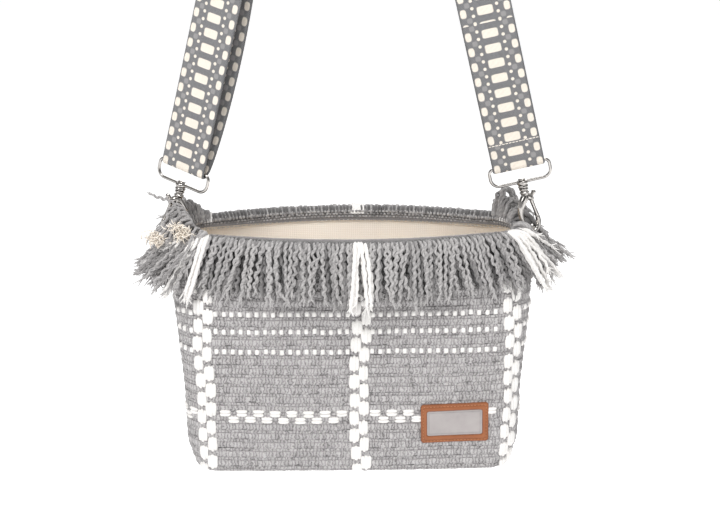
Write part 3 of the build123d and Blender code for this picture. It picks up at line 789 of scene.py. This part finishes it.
def yarn_path(around, back, length, stand, flare, lean, seed, step=1.1 * MM, crinkle=0.62, rise=0.0):
    """Centre line of one yarn: out of the edge, over the rim, then down with gravity and a crinkle."""
    local = np.random.default_rng(seed)
    origin, outward, sideways = rim_frame(around, back)
    run = np.arange(0, length, step)
    over = OVER_RUN + rise
    bent = np.clip((run - rise) / (over - rise), 0, 1)
    settle = np.clip((run - over) / (9 * MM), 0, 1)
    pitch = RISE_PITCH - bent * TURN_OVER
    pitch = pitch * (1 - settle) + (flare - math.radians(90)) * settle
    period = local.uniform(6.5, 10.0) * MM
    k = 2 * math.pi / period
    grow = np.clip((run - over * 0.4) / (8 * MM), 0, 1)
    bend = local.normal(0, 0.10) * np.sin(run * local.uniform(50, 110) + local.uniform(0, 6))
    kink = crinkle * local.uniform(0.6, 1.25) * np.sin(k * run + local.uniform(0, 6.28))
    kink_out = 0.6 * crinkle * np.sin(k * run + local.uniform(0, 6.28))
    pitch = pitch + kink_out * grow
    yaw = lean * np.clip((run - over * 0.5) / (12 * MM), 0, 1) + (kink + bend) * grow
    flat = (np.cos(pitch) * np.cos(yaw))[:, None]
    drop = (np.sin(pitch) * np.cos(yaw))[:, None]
    direction = outward * flat + UP * drop + sideways * np.sin(yaw)[:, None]
    path = origin - outward * 4.0 * MM - UP * 1.5 * MM
    path = path + np.concatenate([[np.zeros(3)], np.cumsum(direction[:-1] * step, 0)])
    path = path + outward * (stand * np.clip((run - over * 0.3) / (7 * MM), 0, 1))[:, None]
    return path, sideways


def add_yarn(batch, path, sideways, radius, tone, seed, fray=4, fray_len=6 * MM, sides=6):
    """One two-ply yarn with a frayed end."""
    local = np.random.default_rng(seed + 5)
    steps = len(path)
    taper = np.ones(steps)
    taper[-3:] = (1.0, 0.85, 0.55)
    swell = 1 + 0.12 * np.sin(np.linspace(0, 12, steps) + local.uniform(0, 6))
    twist = PLY_TURN * local.uniform(0.85, 1.2)
    tube(batch, path, radius * taper * swell, sideways, sides, 0.13, twist, tone)
    end, heading = path[-2], path[-1] - path[-6]
    heading = heading / (np.linalg.norm(heading) + 1e-9)
    for _ in range(fray):
        spread = unit(heading + local.normal(0, 0.26, 3))
        curl = local.normal(0, 0.25, 3)
        t = np.linspace(0, 1, 5)[:, None]
        size = fray_len * local.uniform(0.5, 1.1)
        fibre = end + spread * t * size + curl * t ** 2 * size
        tube(batch, fibre, radius * np.array([0.62, 0.55, 0.46, 0.36, 0.2]), sideways, 4, 0, 0,
             tone * local.uniform(0.95, 1.25))


def lean_at(share, back):
    """Sideways lean and outward flare of the fringe by its share of the way to the seam."""
    size = min(abs(share), 1.0)
    lean = math.radians(3 * size + 30 * max(0.0, (size - 0.3) / 0.7) ** 1.4)
    flare = math.radians(6 + 14 * max(0.0, (size - 0.7) / 0.3))
    return math.copysign(lean, share) * (-1 if back else 1), flare


LAYERS = (      # stand-off, spacing, shorter by, tone, step along the yarn, all mm but the tone; the tone is painted shade, darkest in the layer nearest the cloth
    (0.6, 2.8, 4.0, 0.30, 2.2),
    (2.6, 2.9, 1.5, 0.66, 1.5),
    (5.0, 3.4, 0.0, 1.02, 1.1),
)


def make_fringe(back):
    """Grey yarns over the rim in three layers, with gaps for the white tassels."""
    side = wall_name(back)
    halves = (Batch(), Batch())
    whole = seam_at(BAG_H)
    seed = 4000 if back else 1000
    reach = whole - 7 * MM
    for stand, spacing, shorten, tone, step in LAYERS:
        for around in np.arange(-reach, reach, spacing * MM):
            around = around + rng.normal(0, 0.45 * MM)
            seed += 7
            if from_column(around) < (4.6 if stand > 4 else 3.0) * MM:
                continue
            lean, flare = lean_at(around / whole, back)
            clump = 0.10 * math.sin(around * 700 + 3 * math.sin(around * 190))
            length = FRINGE_LEN - shorten * MM + rng.normal(0, 2.6 * MM)
            path, sideways = yarn_path(around, back, length, stand * MM, flare + rng.normal(0, 0.04),
                                       lean + clump + rng.normal(0, 0.07), seed, step * MM)
            # The yarn's tone is its layer's painted shade times a random tone for each yarn.
            add_yarn(halves[int(around > 0)], path, sideways, FRINGE_R * rng.uniform(0.88, 1.12),
                     tone * rng.uniform(0.85, 1.12), seed, 4 if stand > 2 else 2)
    for batch, hand, replaced in ((halves[0], "left", [f"{side}_fringe"]), (halves[1], "right", ())):
        batch.build(f"{side}_fringe_yarns_{hand}", GREY_YARN, "bag", "grey_yarn", replaced)
    tassels = Batch()
    for column in COLUMNS:
        for k in range(TASSEL_YARNS):
            around = column + (k % 4 - 1.5) * 2.3 * MM + rng.normal(0, 0.3 * MM)
            seed += 7
            lean, flare = lean_at(column / whole, back)
            split = 0.13 if k % 4 > 1 else -0.13
            outer = column > 0.1 and not back
            length = FRINGE_LEN + 1 * MM + rng.normal(0, 2.5 * MM)
            stand = (4.2 + (k // 4) * 1.7 + 3.5 * outer) * MM
            path, sideways = yarn_path(around, back, length, stand, flare,
                                       lean * (1.3 if outer else 1.0) + split * 0.8, seed, 1.6 * MM, 0.25)
            add_yarn(tassels, path, sideways, FRINGE_R * 1.15, rng.uniform(0.92, 1.08), seed, 6, 7 * MM, 8)
    tassels.build(f"{side}_white_tassels", WHITE_YARN, "bag", "white_cord", [f"{side}_tassels"])


for is_back in WALLS:
    make_fringe(is_back)

FLUFFS = {      # cream unspun patches among the tufts: x, y, height over the rim, half size, all mm
    -1: ((-131, -27, 7, 5), (-126, -28, 4, 4), (-150, -24, 0, 4), (-145, -24, -3, 3)),
    1: (),
}
STRAY = ((-120, -17, -2), (-129, -17, 16), (-135, -18, 27), (-142, -18, 29), (-150, -18, 31.5))


def clear_of_tassel(from_seam, sign, back):
    """Distance from the seam in mm, kept past the white tassel at the right of the front."""
    if sign > 0 and not back:
        return 5 + 0.22 * (from_seam - 8)
    return from_seam


def fluff(batch, centre, reach, seed):
    """A patch of short curled cotton fibres."""
    local = np.random.default_rng(seed)
    for _ in range(int(reach / MM * 12)):
        start = centre + local.normal(0, 0.75, 3) * reach * (1, 0.25, 0.55)
        heading = unit(local.normal(0, 1, 3) * (1, 0.4, 0.8))
        curl = np.cross(heading, local.normal(0, 1, 3))
        t = np.linspace(0, 1, 7)[:, None]
        size = local.uniform(3, 6.5) * MM
        path = start + heading * t * size + curl * np.sin(t * local.uniform(2, 5)) * size * 0.35
        tube(batch, path, 0.42 * MM * np.array([0.4, 0.9, 1, 1, 0.9, 0.7, 0.3]), UP, 4, 0, 0,
             local.uniform(0.7, 1.1))


def stray(batch, points, seed):
    """One loose yarn through a few points."""
    points = np.array(points) * MM + (0, 0, RIM_Z)
    t = np.linspace(0, len(points) - 1, 46)
    path = np.stack([np.interp(t, np.arange(len(points)), points[:, k]) for k in range(3)], -1)
    soften(path, 14)
    path[:, 2] += 0.7 * MM * np.sin(np.arange(46) * 0.9)
    add_yarn(batch, path, DEPTH, FRINGE_R * 0.8, 0.9, seed, 5, 4 * MM)


def make_side_tufts(sign, name):
    """Yarns fanning out past the side seam, and the upright tufts at the corners of the mouth."""
    batch, pale, raw = Batch(), Batch(), Batch()
    seed = 9000 if sign < 0 else 9500
    whole = seam_at(BAG_H)
    for back in (False, True):
        hand = sign * (-1 if back else 1)
        for k in range(TUFT_YARNS):
            seed += 7
            from_seam = rng.uniform(9, 26)
            if k % 3:
                from_seam = clear_of_tassel(from_seam, sign, back)
            around = sign * (whole - from_seam * MM)
            lean = hand * math.radians(rng.uniform(14, 46))
            path, sideways = yarn_path(around, back, rng.uniform(48, 64) * MM, rng.uniform(1, 5) * MM,
                                       math.radians(rng.uniform(12, 42)), lean, seed, 1.3 * MM)
            add_yarn(batch, path, sideways, FRINGE_R * rng.uniform(0.85, 1.1), rng.uniform(0.7, 1.1), seed)
        for _ in range(CORNER_YARNS):
            seed += 7
            from_seam = clear_of_tassel(rng.uniform(8, 30), sign, back)
            around = sign * (whole - from_seam * MM)
            peak = 32 - from_seam if sign < 0 else 8 + 17 * math.exp(-((from_seam - 24) / 5) ** 2)
            rise = max(peak * rng.uniform(0.6, 1.0), 3) * (0.4 if sign > 0 and not back else 1.0) * MM
            lean = hand * math.radians(rng.uniform(4, 42))
            path, sideways = yarn_path(around, back, rise + rng.uniform(26, 46) * MM, rng.uniform(0, 3) * MM,
                                       math.radians(rng.uniform(5, 40)), lean, seed, 1.3 * MM, 0.5, rise)
            add_yarn(batch, path, sideways, FRINGE_R * rng.uniform(0.8, 1.05), rng.uniform(0.7, 1.1),
                     seed, 5)
    for _ in range(PALE_YARNS):
        seed += 7
        around = sign * (whole - rng.uniform(7, 20) * MM)
        path, sideways = yarn_path(around, False, rng.uniform(14, 50) * MM, rng.uniform(4, 7) * MM,
                                   math.radians(rng.uniform(20, 45)),
                                   sign * math.radians(rng.uniform(20, 50)), seed, 1.5 * MM, 0.4)
        add_yarn(pale, path, sideways, FRINGE_R, rng.uniform(0.85, 1.0), seed, 9, 7 * MM)
    for k, (x, y, z, reach) in enumerate(FLUFFS[sign]):
        fluff(raw, np.array([x * MM, y * MM, RIM_Z + z * MM]), reach * MM, seed + 31 * k)
    if sign < 0:
        stray(batch, STRAY, seed)
    batch.build(f"{name}_tuft_yarns", GREY_YARN, "bag", "grey_yarn", [f"{name}_side_tufts"])
    pale.build(f"{name}_pale_tufts", WHITE_YARN, "bag", "white_cord")
    if raw.points:
        raw.build(f"{name}_cream_fluff", RAW_COTTON, "bag", "white_cord")


for side_sign, side_name in SIDES:
    make_side_tufts(side_sign, side_name)

# ------------------------------------------------------------------ strap webbing
WEB_HALF = 20 * MM
WEB_T = 2.0 * MM
WEB_STEP = 2.5 * MM
LAYER_LIFT = 2.5 * MM   # middle of each layer from the middle of the pair
LOOP_R = 30 * MM        # inside of the arc at the strap's top
YAW = {-1: math.radians(-34), 1: math.radians(-3)}      # how far each frame loop is turned
TWIST = {-1: (0.320, 0.415), 1: (0.200, 0.415)}         # heights over which a run turns edge-on
FOLD_AT = 17 * MM       # frame's upper bar above the swivel
PART_AT = 130 * MM      # where the turning end of the webbing meets the long run
RING_AT = 200 * MM      # adjuster above the swivel


def run_of(side):
    joint = JOINTS["left_swivel" if side < 0 else "right_swivel"]
    return np.array(joint["pos_m"]), np.array(joint["axis"])


def turned(up, yaw):
    """Width and front directions of a piece on a run, turned about the run."""
    flat = np.array([up[2], 0, -up[0]])
    return flat * math.cos(yaw) + DEPTH * math.sin(yaw), flat * math.sin(yaw) - DEPTH * math.cos(yaw)


def web_state(side, height):
    """Centre, width direction and front direction of the webbing at a height up its run."""
    origin, up = run_of(side)
    low, high = TWIST[side]
    share = min(max((height - low) / (high - low), 0), 1)
    yaw = YAW[side] + (side * math.pi / 2 - YAW[side]) * share
    across, front = turned(up, yaw)
    lift = LAYER_LIFT * (1 - share)
    return origin + up * height + front * lift, across, front


def ribbon(name, centres, acrosses, fronts, along, body, replaced=()):
    """Webbing along a path, with rounded edges and its pattern laid out in its own mesh."""
    x = np.linspace(-1, 1, 28)
    edge = np.sqrt(np.clip(1 - np.clip((np.abs(x) - 0.955) / 0.045, 0, 1) ** 2, 0, 1))
    ring_x = np.concatenate([x, x[::-1]])
    ring_z = np.concatenate([edge, -edge[::-1]]) * WEB_T / 2
    centres, acrosses, fronts = map(np.asarray, (centres, acrosses, fronts))
    points = (centres[:, None] + acrosses[:, None] * (ring_x * WEB_HALF)[None, :, None]
              + fronts[:, None] * ring_z[None, :, None])
    batch = Batch()
    # The tone falls to 0.7 at the rounded edges: painted shade.
    edge_shade_tone = 0.7 + 0.3 * edge
    tone = np.broadcast_to(np.concatenate([edge_shade_tone, edge_shade_tone[::-1]])[None], points.shape[:2])
    batch.grid(points, tone, wrap=True)
    uv_x = np.broadcast_to(ring_x * WEB_HALF * 100, points.shape[:2])
    uv_y = np.broadcast_to(np.asarray(along)[:, None] * 100, points.shape[:2])
    uv = np.stack([uv_x, uv_y], -1).reshape(-1, 2)
    return batch.build(name, WEBBING, body, "webbing", replaced, uv)


def lower_path(side):
    """From the long run down round the frame's bar and back up, a short way only on the right."""
    origin, up = run_of(side)
    rows = []
    for height in np.arange(PART_AT, FOLD_AT, -WEB_STEP):
        centre, across, front = web_state(side, height)
        rows.append((centre, across, front, height))
    _, across, front = web_state(side, FOLD_AT)
    for angle in np.linspace(0, math.pi, 13):
        out = front * math.cos(angle) - up * math.sin(angle)
        rows.append((origin + up * FOLD_AT + out * LAYER_LIFT, across, out, FOLD_AT - LAYER_LIFT * angle))
    top = PART_AT if side < 0 else 38 * MM
    for height in np.linspace(FOLD_AT + WEB_STEP, top, int((top - FOLD_AT) / WEB_STEP)):
        rows.append(return_state(side, height))
    return [list(column) for column in zip(*rows)]


def return_state(side, height):
    """The layer that comes back up behind: hanging loose on the left, sewn short on the right."""
    origin, up = run_of(side)
    _, across, front = web_state(side, height)
    loose = math.sin(math.pi * min((height - FOLD_AT) / (RING_AT - FOLD_AT), 1)) ** 0.6 if side < 0 else 0
    centre = origin + up * height - front * (LAYER_LIFT + 7 * MM * loose) + across * 3 * MM * loose
    return centre, across, -front, FOLD_AT - LAYER_LIFT * math.pi - (height - FOLD_AT)


def make_strap():
    strap_high = np.array(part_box("strap_top")[1])
    radius = LOOP_R + WEB_T / 2
    foot, up = run_of(1)
    top = (foot[0] - radius * up[2]) / -up[0]
    heights = np.linspace(PART_AT, top, int((top - PART_AT) / WEB_STEP))
    rows = [(*web_state(-1, height), height) for height in heights]
    origin, up = run_of(-1)
    tilt = math.atan2(up[0], up[2])
    centre = np.array([0, 0, strap_high[2] - WEB_T - LOOP_R])
    travelled = heights[-1]
    for angle in np.linspace(math.pi - tilt, tilt, 40):
        out = np.array([math.cos(angle), 0, math.sin(angle)])
        rows.append((centre + out * radius, -DEPTH, out,
                     travelled + (math.pi - tilt - angle) * radius))
    travelled = rows[-1][3]
    for height in heights[::-1]:
        state = web_state(1, height)
        rows.append((state[0], -state[1], state[2], travelled + heights[-1] - height))
    # the width direction keeps one hand all the way round
    fixed = []
    for row in rows:
        across = row[1] if not fixed or np.dot(row[1], fixed[-1][1]) > 0 else -row[1]
        fixed.append((row[0], across, row[2], row[3]))
    columns = [list(column) for column in zip(*fixed)]
    ribbon("strap_webbing", *columns, "strap", ["strap_top", "left_strap_run", "right_strap_run"])
    for side, name in SIDES:
        piece = ribbon(f"{name}_webbing_end", *lower_path(side), None, [f"{name}_strap_end"])
        origin, up = run_of(side)
        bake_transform(piece)
    origin, up = run_of(-1)
    tail = [return_state(-1, h) for h in np.linspace(PART_AT, RING_AT + 5 * MM, 32)]
    piece = ribbon("webbing_return_layer", *[list(c) for c in zip(*tail)], None, ["strap_tail"])
    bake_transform(piece)


make_strap()


def make_strap_stitches():
    """Cream sewing across the right webbing, through its short turned end."""
    batch = Batch()
    origin, up = run_of(1)
    height = FOLD_AT + 19 * MM
    _, across, front = web_state(1, height)
    at = np.array([-0.9, -0.3, 0.3, 0.9])[:, None] * MM
    bow = np.array([0.0, 0.16, 0.16, 0.0])[:, None] * MM
    for face in (1, -1):
        base = origin + up * height + front * face * (LAYER_LIFT + WEB_T / 2)
        for x in np.arange(-18.2, 18.3, 2.6) * MM:
            tube(batch, base + across * (x + at) + front * face * bow, 0.3 * MM, up, 6)
    batch.build("right_webbing_stitches", RAW_COTTON, "right_frame", "thread")


make_strap_stitches()

# ------------------------------------------------------------------ label
LABEL_X, LABEL_S = LABEL_AT
LABEL_W, LABEL_H = 52.5 * MM, 32.5 * MM
PLATE_W, PLATE_H = 43 * MM, 21 * MM
FRAME_INSET = (LABEL_W - PLATE_W) / 2 / MM      # width of the label's leather frame, mm
LABEL_PROFILE = (       # from the outer edge, height over the cloth (both mm), tone; the tone is painted shade, low at the foot, in the groove and on the step down to the inlay
    (0.0, 0.2, 0.4), (0.0, 1.7, 0.55), (0.25, 2.15, 0.7), (0.7, 2.35, 0.95), (1.3, 2.4, 1.05),
    (1.6, 2.2, 0.8), (2.0, 2.2, 0.8), (2.3, 2.42, 1.05),
    (FRAME_INSET - 1.0, 2.45, 1.05), (FRAME_INSET - 0.4, 2.35, 0.9),
    (FRAME_INSET, 2.0, 0.6), (FRAME_INSET, 0.9, 0.4),
)
STITCH_STEP, THREAD_R = 2.6 * MM, 0.28 * MM
LABEL_TURN = math.radians(1.0)


def rounded_rectangle(width, height, radius, count=40):
    """Points round a rounded rectangle, at most about 1 mm apart."""
    angles = np.linspace(0, 2 * math.pi, 4 * count, endpoint=False)
    out = np.stack([np.cos(angles), np.sin(angles)], -1)
    corner = np.sign(out) * (width / 2 - radius, height / 2 - radius)
    points = corner + out * radius
    line = []
    for a, b in zip(points, np.roll(points, -1, 0)):
        pieces = max(int(np.linalg.norm(b - a) / (1.0 * MM)), 1)
        line += [a + (b - a) * j / pieces for j in range(pieces)]
    return np.array(line)


def on_label(x, y, lift):
    """Point on the label's plane, turned a little, resting on the cloth."""
    c, s = math.cos(LABEL_TURN), math.sin(LABEL_TURN)
    points, _ = place(LABEL_X + x * c - y * s, LABEL_S + x * s + y * c, lift)
    return points


def make_label():
    """Leather frame with a raised rim, a grey inlay with a pressed line, and the frame's sewing."""
    leather, plate, stitches = Batch(), Batch(), Batch()
    outline = rounded_rectangle(LABEL_W, LABEL_H, 2.5 * MM)
    rows = []
    for from_edge, lift, _ in LABEL_PROFILE:
        share = from_edge / FRAME_INSET
        p = outline * (1 - share * (1 - PLATE_W / LABEL_W), 1 - share * (1 - PLATE_H / LABEL_H))
        rows.append(on_label(p[:, 0], p[:, 1], np.full(len(p), lift * MM)))
    tones = np.array([tone for _, _, tone in LABEL_PROFILE])[:, None]
    points = np.stack(rows, 0)
    leather.grid(points, np.broadcast_to(tones, points.shape[:2]), wrap=True)
    leather.build("label_leather", TAN, "bag", "tan_leather", ["label_frame"])
    u, v = np.meshgrid(np.linspace(-1, 1, 64), np.linspace(-1, 1, 34), indexing="xy")
    edge = np.minimum((1 - np.abs(u)) * PLATE_W / 2, (1 - np.abs(v)) * PLATE_H / 2) / MM
    lift = 1.55 + 0.25 * np.clip(edge / 1.2, 0, 1) - 0.22 * np.exp(-((edge - 1.9) / 0.35) ** 2)
    half_x, half_y = PLATE_W / 2 + 0.4 * MM, PLATE_H / 2 + 0.4 * MM
    # The inlay's tone dips along the pressed line: painted shade.
    plate.grid(on_label(u * half_x, v * half_y, lift * MM), 1 - 0.35 * np.exp(-((edge - 1.9) / 0.4) ** 2))
    plate.build("label_inlay", PLATE, "bag", "grey_plate", ["label_plate"])
    seam = rounded_rectangle(LABEL_W - 3.7 * MM, LABEL_H - 3.7 * MM, 1.6 * MM)
    closed = np.concatenate([seam, seam[:1]])
    arc = run_along(closed)
    count = int(arc[-1] / STITCH_STEP)
    for k in range(count):
        at = np.linspace(k + 0.16, k + 0.84, 5) / count * arc[-1]
        x, y = np.interp(at, arc, closed[:, 0]), np.interp(at, arc, closed[:, 1])
        path = on_label(x, y, (2.28 + 0.22 * np.sin(np.linspace(0, math.pi, 5))) * MM)
        tube(stitches, path, THREAD_R * np.array([0.5, 1, 1, 1, 0.5]), -DEPTH, 6)
    stitches.build("label_thread", THREAD, "bag", "thread", ["label_stitches"])


make_label()

# ------------------------------------------------------------------ leather tabs that hold the rings
TAB_HALF, TAB_T = 7.8 * MM, 1.6 * MM
TAB_BEND = 2.55 * MM    # middle of the leather round the ring's bar
TAB_FOOT, TAB_LOW = (138.3, 161.0), (137.6, 147.0)      # top and end of the sewn part: x, height, mm
TAB_STITCHES = 9


def make_tab(side, name):
    """Leather folded round the ring's bar and sewn to the side seam."""
    bar = np.array(JOINTS[f"{name}_ring_rock"]["pos_m"])
    foot, low = (np.array([side * x * MM, 0, BASE_Z + z * MM]) for x, z in (TAB_FOOT, TAB_LOW))
    outer = [low + (foot - low) * k / 9 for k in range(10)]
    shoulder = bar + (side * TAB_BEND, 0, 0)
    outer += [foot + (shoulder - foot) * k / 12 for k in range(1, 12)]
    turn = [bar + TAB_BEND * np.array([side * math.cos(a), 0, math.sin(a)])
            for a in np.linspace(0, math.pi, 15)]
    tuck = foot - (side * 1.7 * MM, 0, 0)
    inner = [turn[-1] + (tuck - turn[-1]) * k / 10 for k in range(1, 11)]
    path = np.array(outer + turn + inner)
    out = np.cross(unit(np.gradient(path, axis=0)), DEPTH) * side
    angles = np.linspace(0, 2 * math.pi, 48, endpoint=False)
    flat = np.sign(np.cos(angles)) * (TAB_HALF - TAB_T / 2) + np.cos(angles) * TAB_T / 2
    thick = np.sin(angles) * TAB_T / 2
    batch, thread = Batch(), Batch()
    size = np.ones(len(path))
    size[0], size[-1] = 0.93, 0.93
    points = (path[:, None] + DEPTH * flat[None, :, None] * size[:, None, None]
              + out[:, None] * thick[None, :, None])
    # The tone falls to 0.7 on the leather's narrow edges and 0.6 on its ends: painted shade.
    tone = np.broadcast_to(0.7 + 0.3 * np.abs(np.sin(angles))[None], points.shape[:2])
    batch.grid(points, tone, wrap=True)
    for end in (0, -1):
        closed = path[end] + (points[end] - path[end]) * np.linspace(1, 0.02, 5)[:, None, None]
        batch.grid(closed, 0.6, wrap=True)
    batch.build(f"{name}_tab_leather", TAN, "bag", "tan_leather", [f"{name}_leather_tab"])
    outward = np.array([side * 1.0, 0, 0])
    pitch = (foot - low) / TAB_STITCHES
    for row in (-1, 1):
        for k in range(TAB_STITCHES):
            centre = low + pitch * (k + 0.8) + outward * TAB_T / 2 + DEPTH * row * (TAB_HALF - 1.6 * MM)
            line = [centre - pitch * 0.36, centre + outward * 0.2 * MM, centre + pitch * 0.36]
            tube(thread, line, THREAD_R, DEPTH, 6)
    thread.build(f"{name}_tab_stitches", THREAD, "bag", "thread")


for side_sign, side_name in SIDES:
    make_tab(side_sign, side_name)

# ------------------------------------------------------------------ metal fittings
HOOK_YAW = {-1: 0.0, 1: math.radians(30)}       # how far each hook is turned
WIRE_R, RING_WIRE = 1.2 * MM, 1.6 * MM
FRAME_HALF, FRAME_LOW, FRAME_HIGH = 23.15, 3.0, 17.0        # centre lines of the frame's bars, mm
FRAME_TOP_R, FRAME_FOOT_R = 3.8, 6.5    # bends of the frame, mm
RING_CENTRE, RING_R, BAR_DROP = 45.0, 12.0, 4.0     # D-ring: below the swivel, bow, bar under its centre; mm
RING_CORNER = 3.0
THROAT_MID, BEND_DROP = 7.2, 31.0       # hook's bend: radius, and its centre below the swivel; mm
# turned parts as (radius, height) pairs, mm
BOSS = ((0.02, -1.5), (3.3, -1.5), (3.9, -1.1), (4.1, -0.4), (3.7, 0.3), (3.4, 0.7), (3.7, 1.1),
        (4.3, 1.7), (4.4, 2.8), (4.2, 3.7), (3.5, 4.2), (0.02, 4.3))
RIVET = ((0.02, 4.55), (2.9, 4.6), (3.0, 4.9), (2.6, 5.4), (1.6, 5.8), (0.02, 5.9))
NECK = ((0.02, -8.4), (2.6, -8.2), (2.9, -7.2), (3.1, -6.5), (3.7, -6.1), (3.8, -5.5), (3.5, -5.0),
        (2.7, -4.7), (2.6, -3.9), (3.3, -3.5), (3.7, -3.1), (3.7, -2.4), (3.3, -1.9), (2.2, -1.7),
        (0.02, -1.6))
# cast parts as (toward the gate, height, radius), mm
HOOK_BODY = ((0.0, -6.8, 2.6), (-0.4, -9.6, 3.3), (-3.6, -12.6, 3.1), (-6.4, -16.0, 2.5), (-7.2, -20.0, 2.1),
             (-7.2, -31.0, 2.0))
HOOK_HEAD = ((-0.6, -8.2, 2.6), (2.4, -9.6, 2.9), (4.8, -11.6, 2.6), (5.2, -12.6, 2.0))
GATE = ((8.0, -8.2, 1.9), (6.6, -9.6, 1.3), (4.4, -11.2, 1.5), (4.9, -15.0, 1.5), (6.0, -21.0, 1.35),
        (7.1, -26.6, 1.6))
SNAP = ((0.02, -0.6), (9.0, -0.6), (9.2, 0.5), (8.9, 1.1), (8.3, 1.5), (6.2, 1.6), (5.7, 1.3), (4.4, 1.3),
        (4.0, 1.7), (3.0, 2.2), (0.02, 2.4))
SNAP_BELOW = 33 * MM    # snap's middle under the rim


def lathe(batch, origin, axis, beside, profile, sides=28):
    """Turn a profile of (radius, height) pairs, in mm, about an axis."""
    beside = unit(beside - axis * (axis @ beside))
    theta = np.linspace(0, 2 * math.pi, sides, endpoint=False)[:, None]
    ring = beside * np.cos(theta) + np.cross(axis, beside) * np.sin(theta)
    radius, height = (np.array(column) * MM for column in zip(*profile))
    batch.grid(origin + axis * height[:, None, None] + ring[None] * radius[:, None, None], 1.0, wrap=True)


def fitting_axes(side, yaw):
    """Swivel point with the directions up the run, across the fitting and out of its front."""
    origin, up = run_of(side)
    return origin, up, *turned(up, yaw)


def resample(points, step, passes=0):
    """Even points along a line of control points, then softened."""
    points = np.array(points, float)
    arc = run_along(points[:, :2])
    at = np.linspace(0, arc[-1], int(arc[-1] / step) + 1)
    line = np.stack([np.interp(at, arc, points[:, k]) for k in range(points.shape[1])], -1)
    soften(line, passes)
    return line


def rod(batch, axes, side, control, passes=12):
    """A solid cast arm through (toward the gate, height, radius) points, with round ends."""
    origin, up, across, front = axes
    line = resample(control, 0.5, passes)
    path = origin + (across * line[:, :1] * side + up * line[:, 1:2]) * MM
    radius = line[:, 2] * MM
    bulge = np.array([0.5, 1.0, 1.35, 1.57])
    for end, inner in ((0, 1), (-1, -2)):
        out = unit(path[end] - path[inner])
        rows = path[end] + out * radius[end] * np.sin(bulge)[:, None]
        sizes = radius[end] * np.maximum(np.cos(bulge), 0.02)
        if end == 0:
            path, radius = np.concatenate([rows[::-1], path]), np.concatenate([sizes[::-1], radius])
        else:
            path, radius = np.concatenate([path, rows]), np.concatenate([radius, sizes])
    tube(batch, path, radius, front, 18)


def arc_points(x, y, radius, start, end, count=12):
    """Points on an arc about (x, y), between two angles in degrees."""
    angles = np.radians(np.linspace(start, end, count))
    return [(x + radius * math.cos(a), y + radius * math.sin(a)) for a in angles]


def wire_loop(batch, origin, across, up, outline, radius):
    """Round wire bent along a closed outline of (across, up) points in mm."""
    line = resample(outline + outline[:1], 0.7)
    line[-1] = line[0]
    path = origin + (across * line[:, :1] + up * line[:, 1:2]) * MM
    tangent = unit(np.roll(path[:-1], -1, 0) - np.roll(path[:-1], 1, 0))
    normal = np.cross(across, up)
    theta = np.linspace(0, 2 * math.pi, 16, endpoint=False)[:, None]
    ring = normal * np.cos(theta) + np.cross(tangent, normal)[:, None] * np.sin(theta)
    points = path[:-1, None] + ring * radius
    batch.grid(np.concatenate([points, points[:1]]), 1.0, wrap=True)


def make_fittings(side, name):
    """Frame loop, snap hook, gate and D-ring of one side."""
    origin, up, across, _ = fitting_axes(side, YAW[side])
    top_x, top_z = FRAME_HALF - FRAME_TOP_R, FRAME_HIGH - FRAME_TOP_R
    foot_x, foot_z = FRAME_HALF - FRAME_FOOT_R, FRAME_LOW + FRAME_FOOT_R
    outline = arc_points(-top_x, top_z, FRAME_TOP_R, 90, 180)
    outline += arc_points(-foot_x, foot_z, FRAME_FOOT_R, 180, 270)
    outline += arc_points(foot_x, foot_z, FRAME_FOOT_R, 270, 360)
    outline += arc_points(top_x, top_z, FRAME_TOP_R, 0, 90)
    loop = Batch()
    wire_loop(loop, origin, across, up, outline, WIRE_R)
    lathe(loop, origin, up, across, BOSS)
    loop.build(f"{name}_frame_wire", NICKEL, f"{name}_frame", "dark_nickel", [f"{name}_frame_loop"])

    axes = fitting_axes(side, HOOK_YAW[side])
    hook = Batch()
    lathe(hook, origin, up, across, NECK)
    lathe(hook, origin, up, across, RIVET)
    bend = [(x, y, 2.0) for x, y in arc_points(0, -BEND_DROP, THROAT_MID, 180, 360, 24)]
    rod(hook, axes, side, list(HOOK_BODY) + bend[1:] + [(THROAT_MID, 3 - BEND_DROP, 1.8)], 6)
    rod(hook, axes, side, HOOK_HEAD)
    hook.build(f"{name}_cast_hook", NICKEL, "strap", "dark_nickel", [f"{name}_snap_hook"])
    gate = Batch()
    rod(gate, axes, side, GATE)
    gate.build(f"{name}_gate_arm", NICKEL, f"{name}_gate", "dark_nickel", [f"{name}_hook_gate"])

    low_x, low_z = RING_R - RING_CORNER, RING_CORNER - BAR_DROP
    ring_line = arc_points(0, 0, RING_R, 0, 180, 40) + arc_points(-low_x, low_z, RING_CORNER, 180, 270)
    ring_line += arc_points(low_x, low_z, RING_CORNER, 270, 360)
    ring = Batch()
    wire_loop(ring, origin - up * RING_CENTRE * MM, DEPTH, up, ring_line, RING_WIRE)
    ring.build(f"{name}_ring_wire", NICKEL, f"{name}_ring", "dark_nickel", [f"{name}_d_ring"])


def make_snap(back):
    """One half of the magnetic snap, sewn to the lining."""
    batch = Batch()
    point, normal = place(np.array([0.0]), np.array([BAG_H - SNAP_BELOW]), np.array([-LINING_IN]), back)
    lathe(batch, point[0], -normal[0], UP, SNAP, 40)
    side = wall_name(back)
    batch.build(f"{side}_snap_disc", NICKEL, "bag", "dark_nickel", [f"{side}_magnetic_snap"])


for side_sign, side_name in SIDES:
    make_fittings(side_sign, side_name)
for is_back in WALLS:
    make_snap(is_back)


# ------------------------------------------------------------------ CAD pieces that stay
def paint(node, material):
    """Give a carried-over CAD node its finish."""
    piece = frame["nodes"][node]
    if not piece.material_slots:
        piece.data.materials.append(material)
    for slot in piece.material_slots:
        slot.material = material


for side_name in ("left", "right"):
    paint(f"{side_name}_gate_pin", NICKEL)
    paint(f"{side_name}_gate_spring", STEEL)
paint("strap_slider", NICKEL)
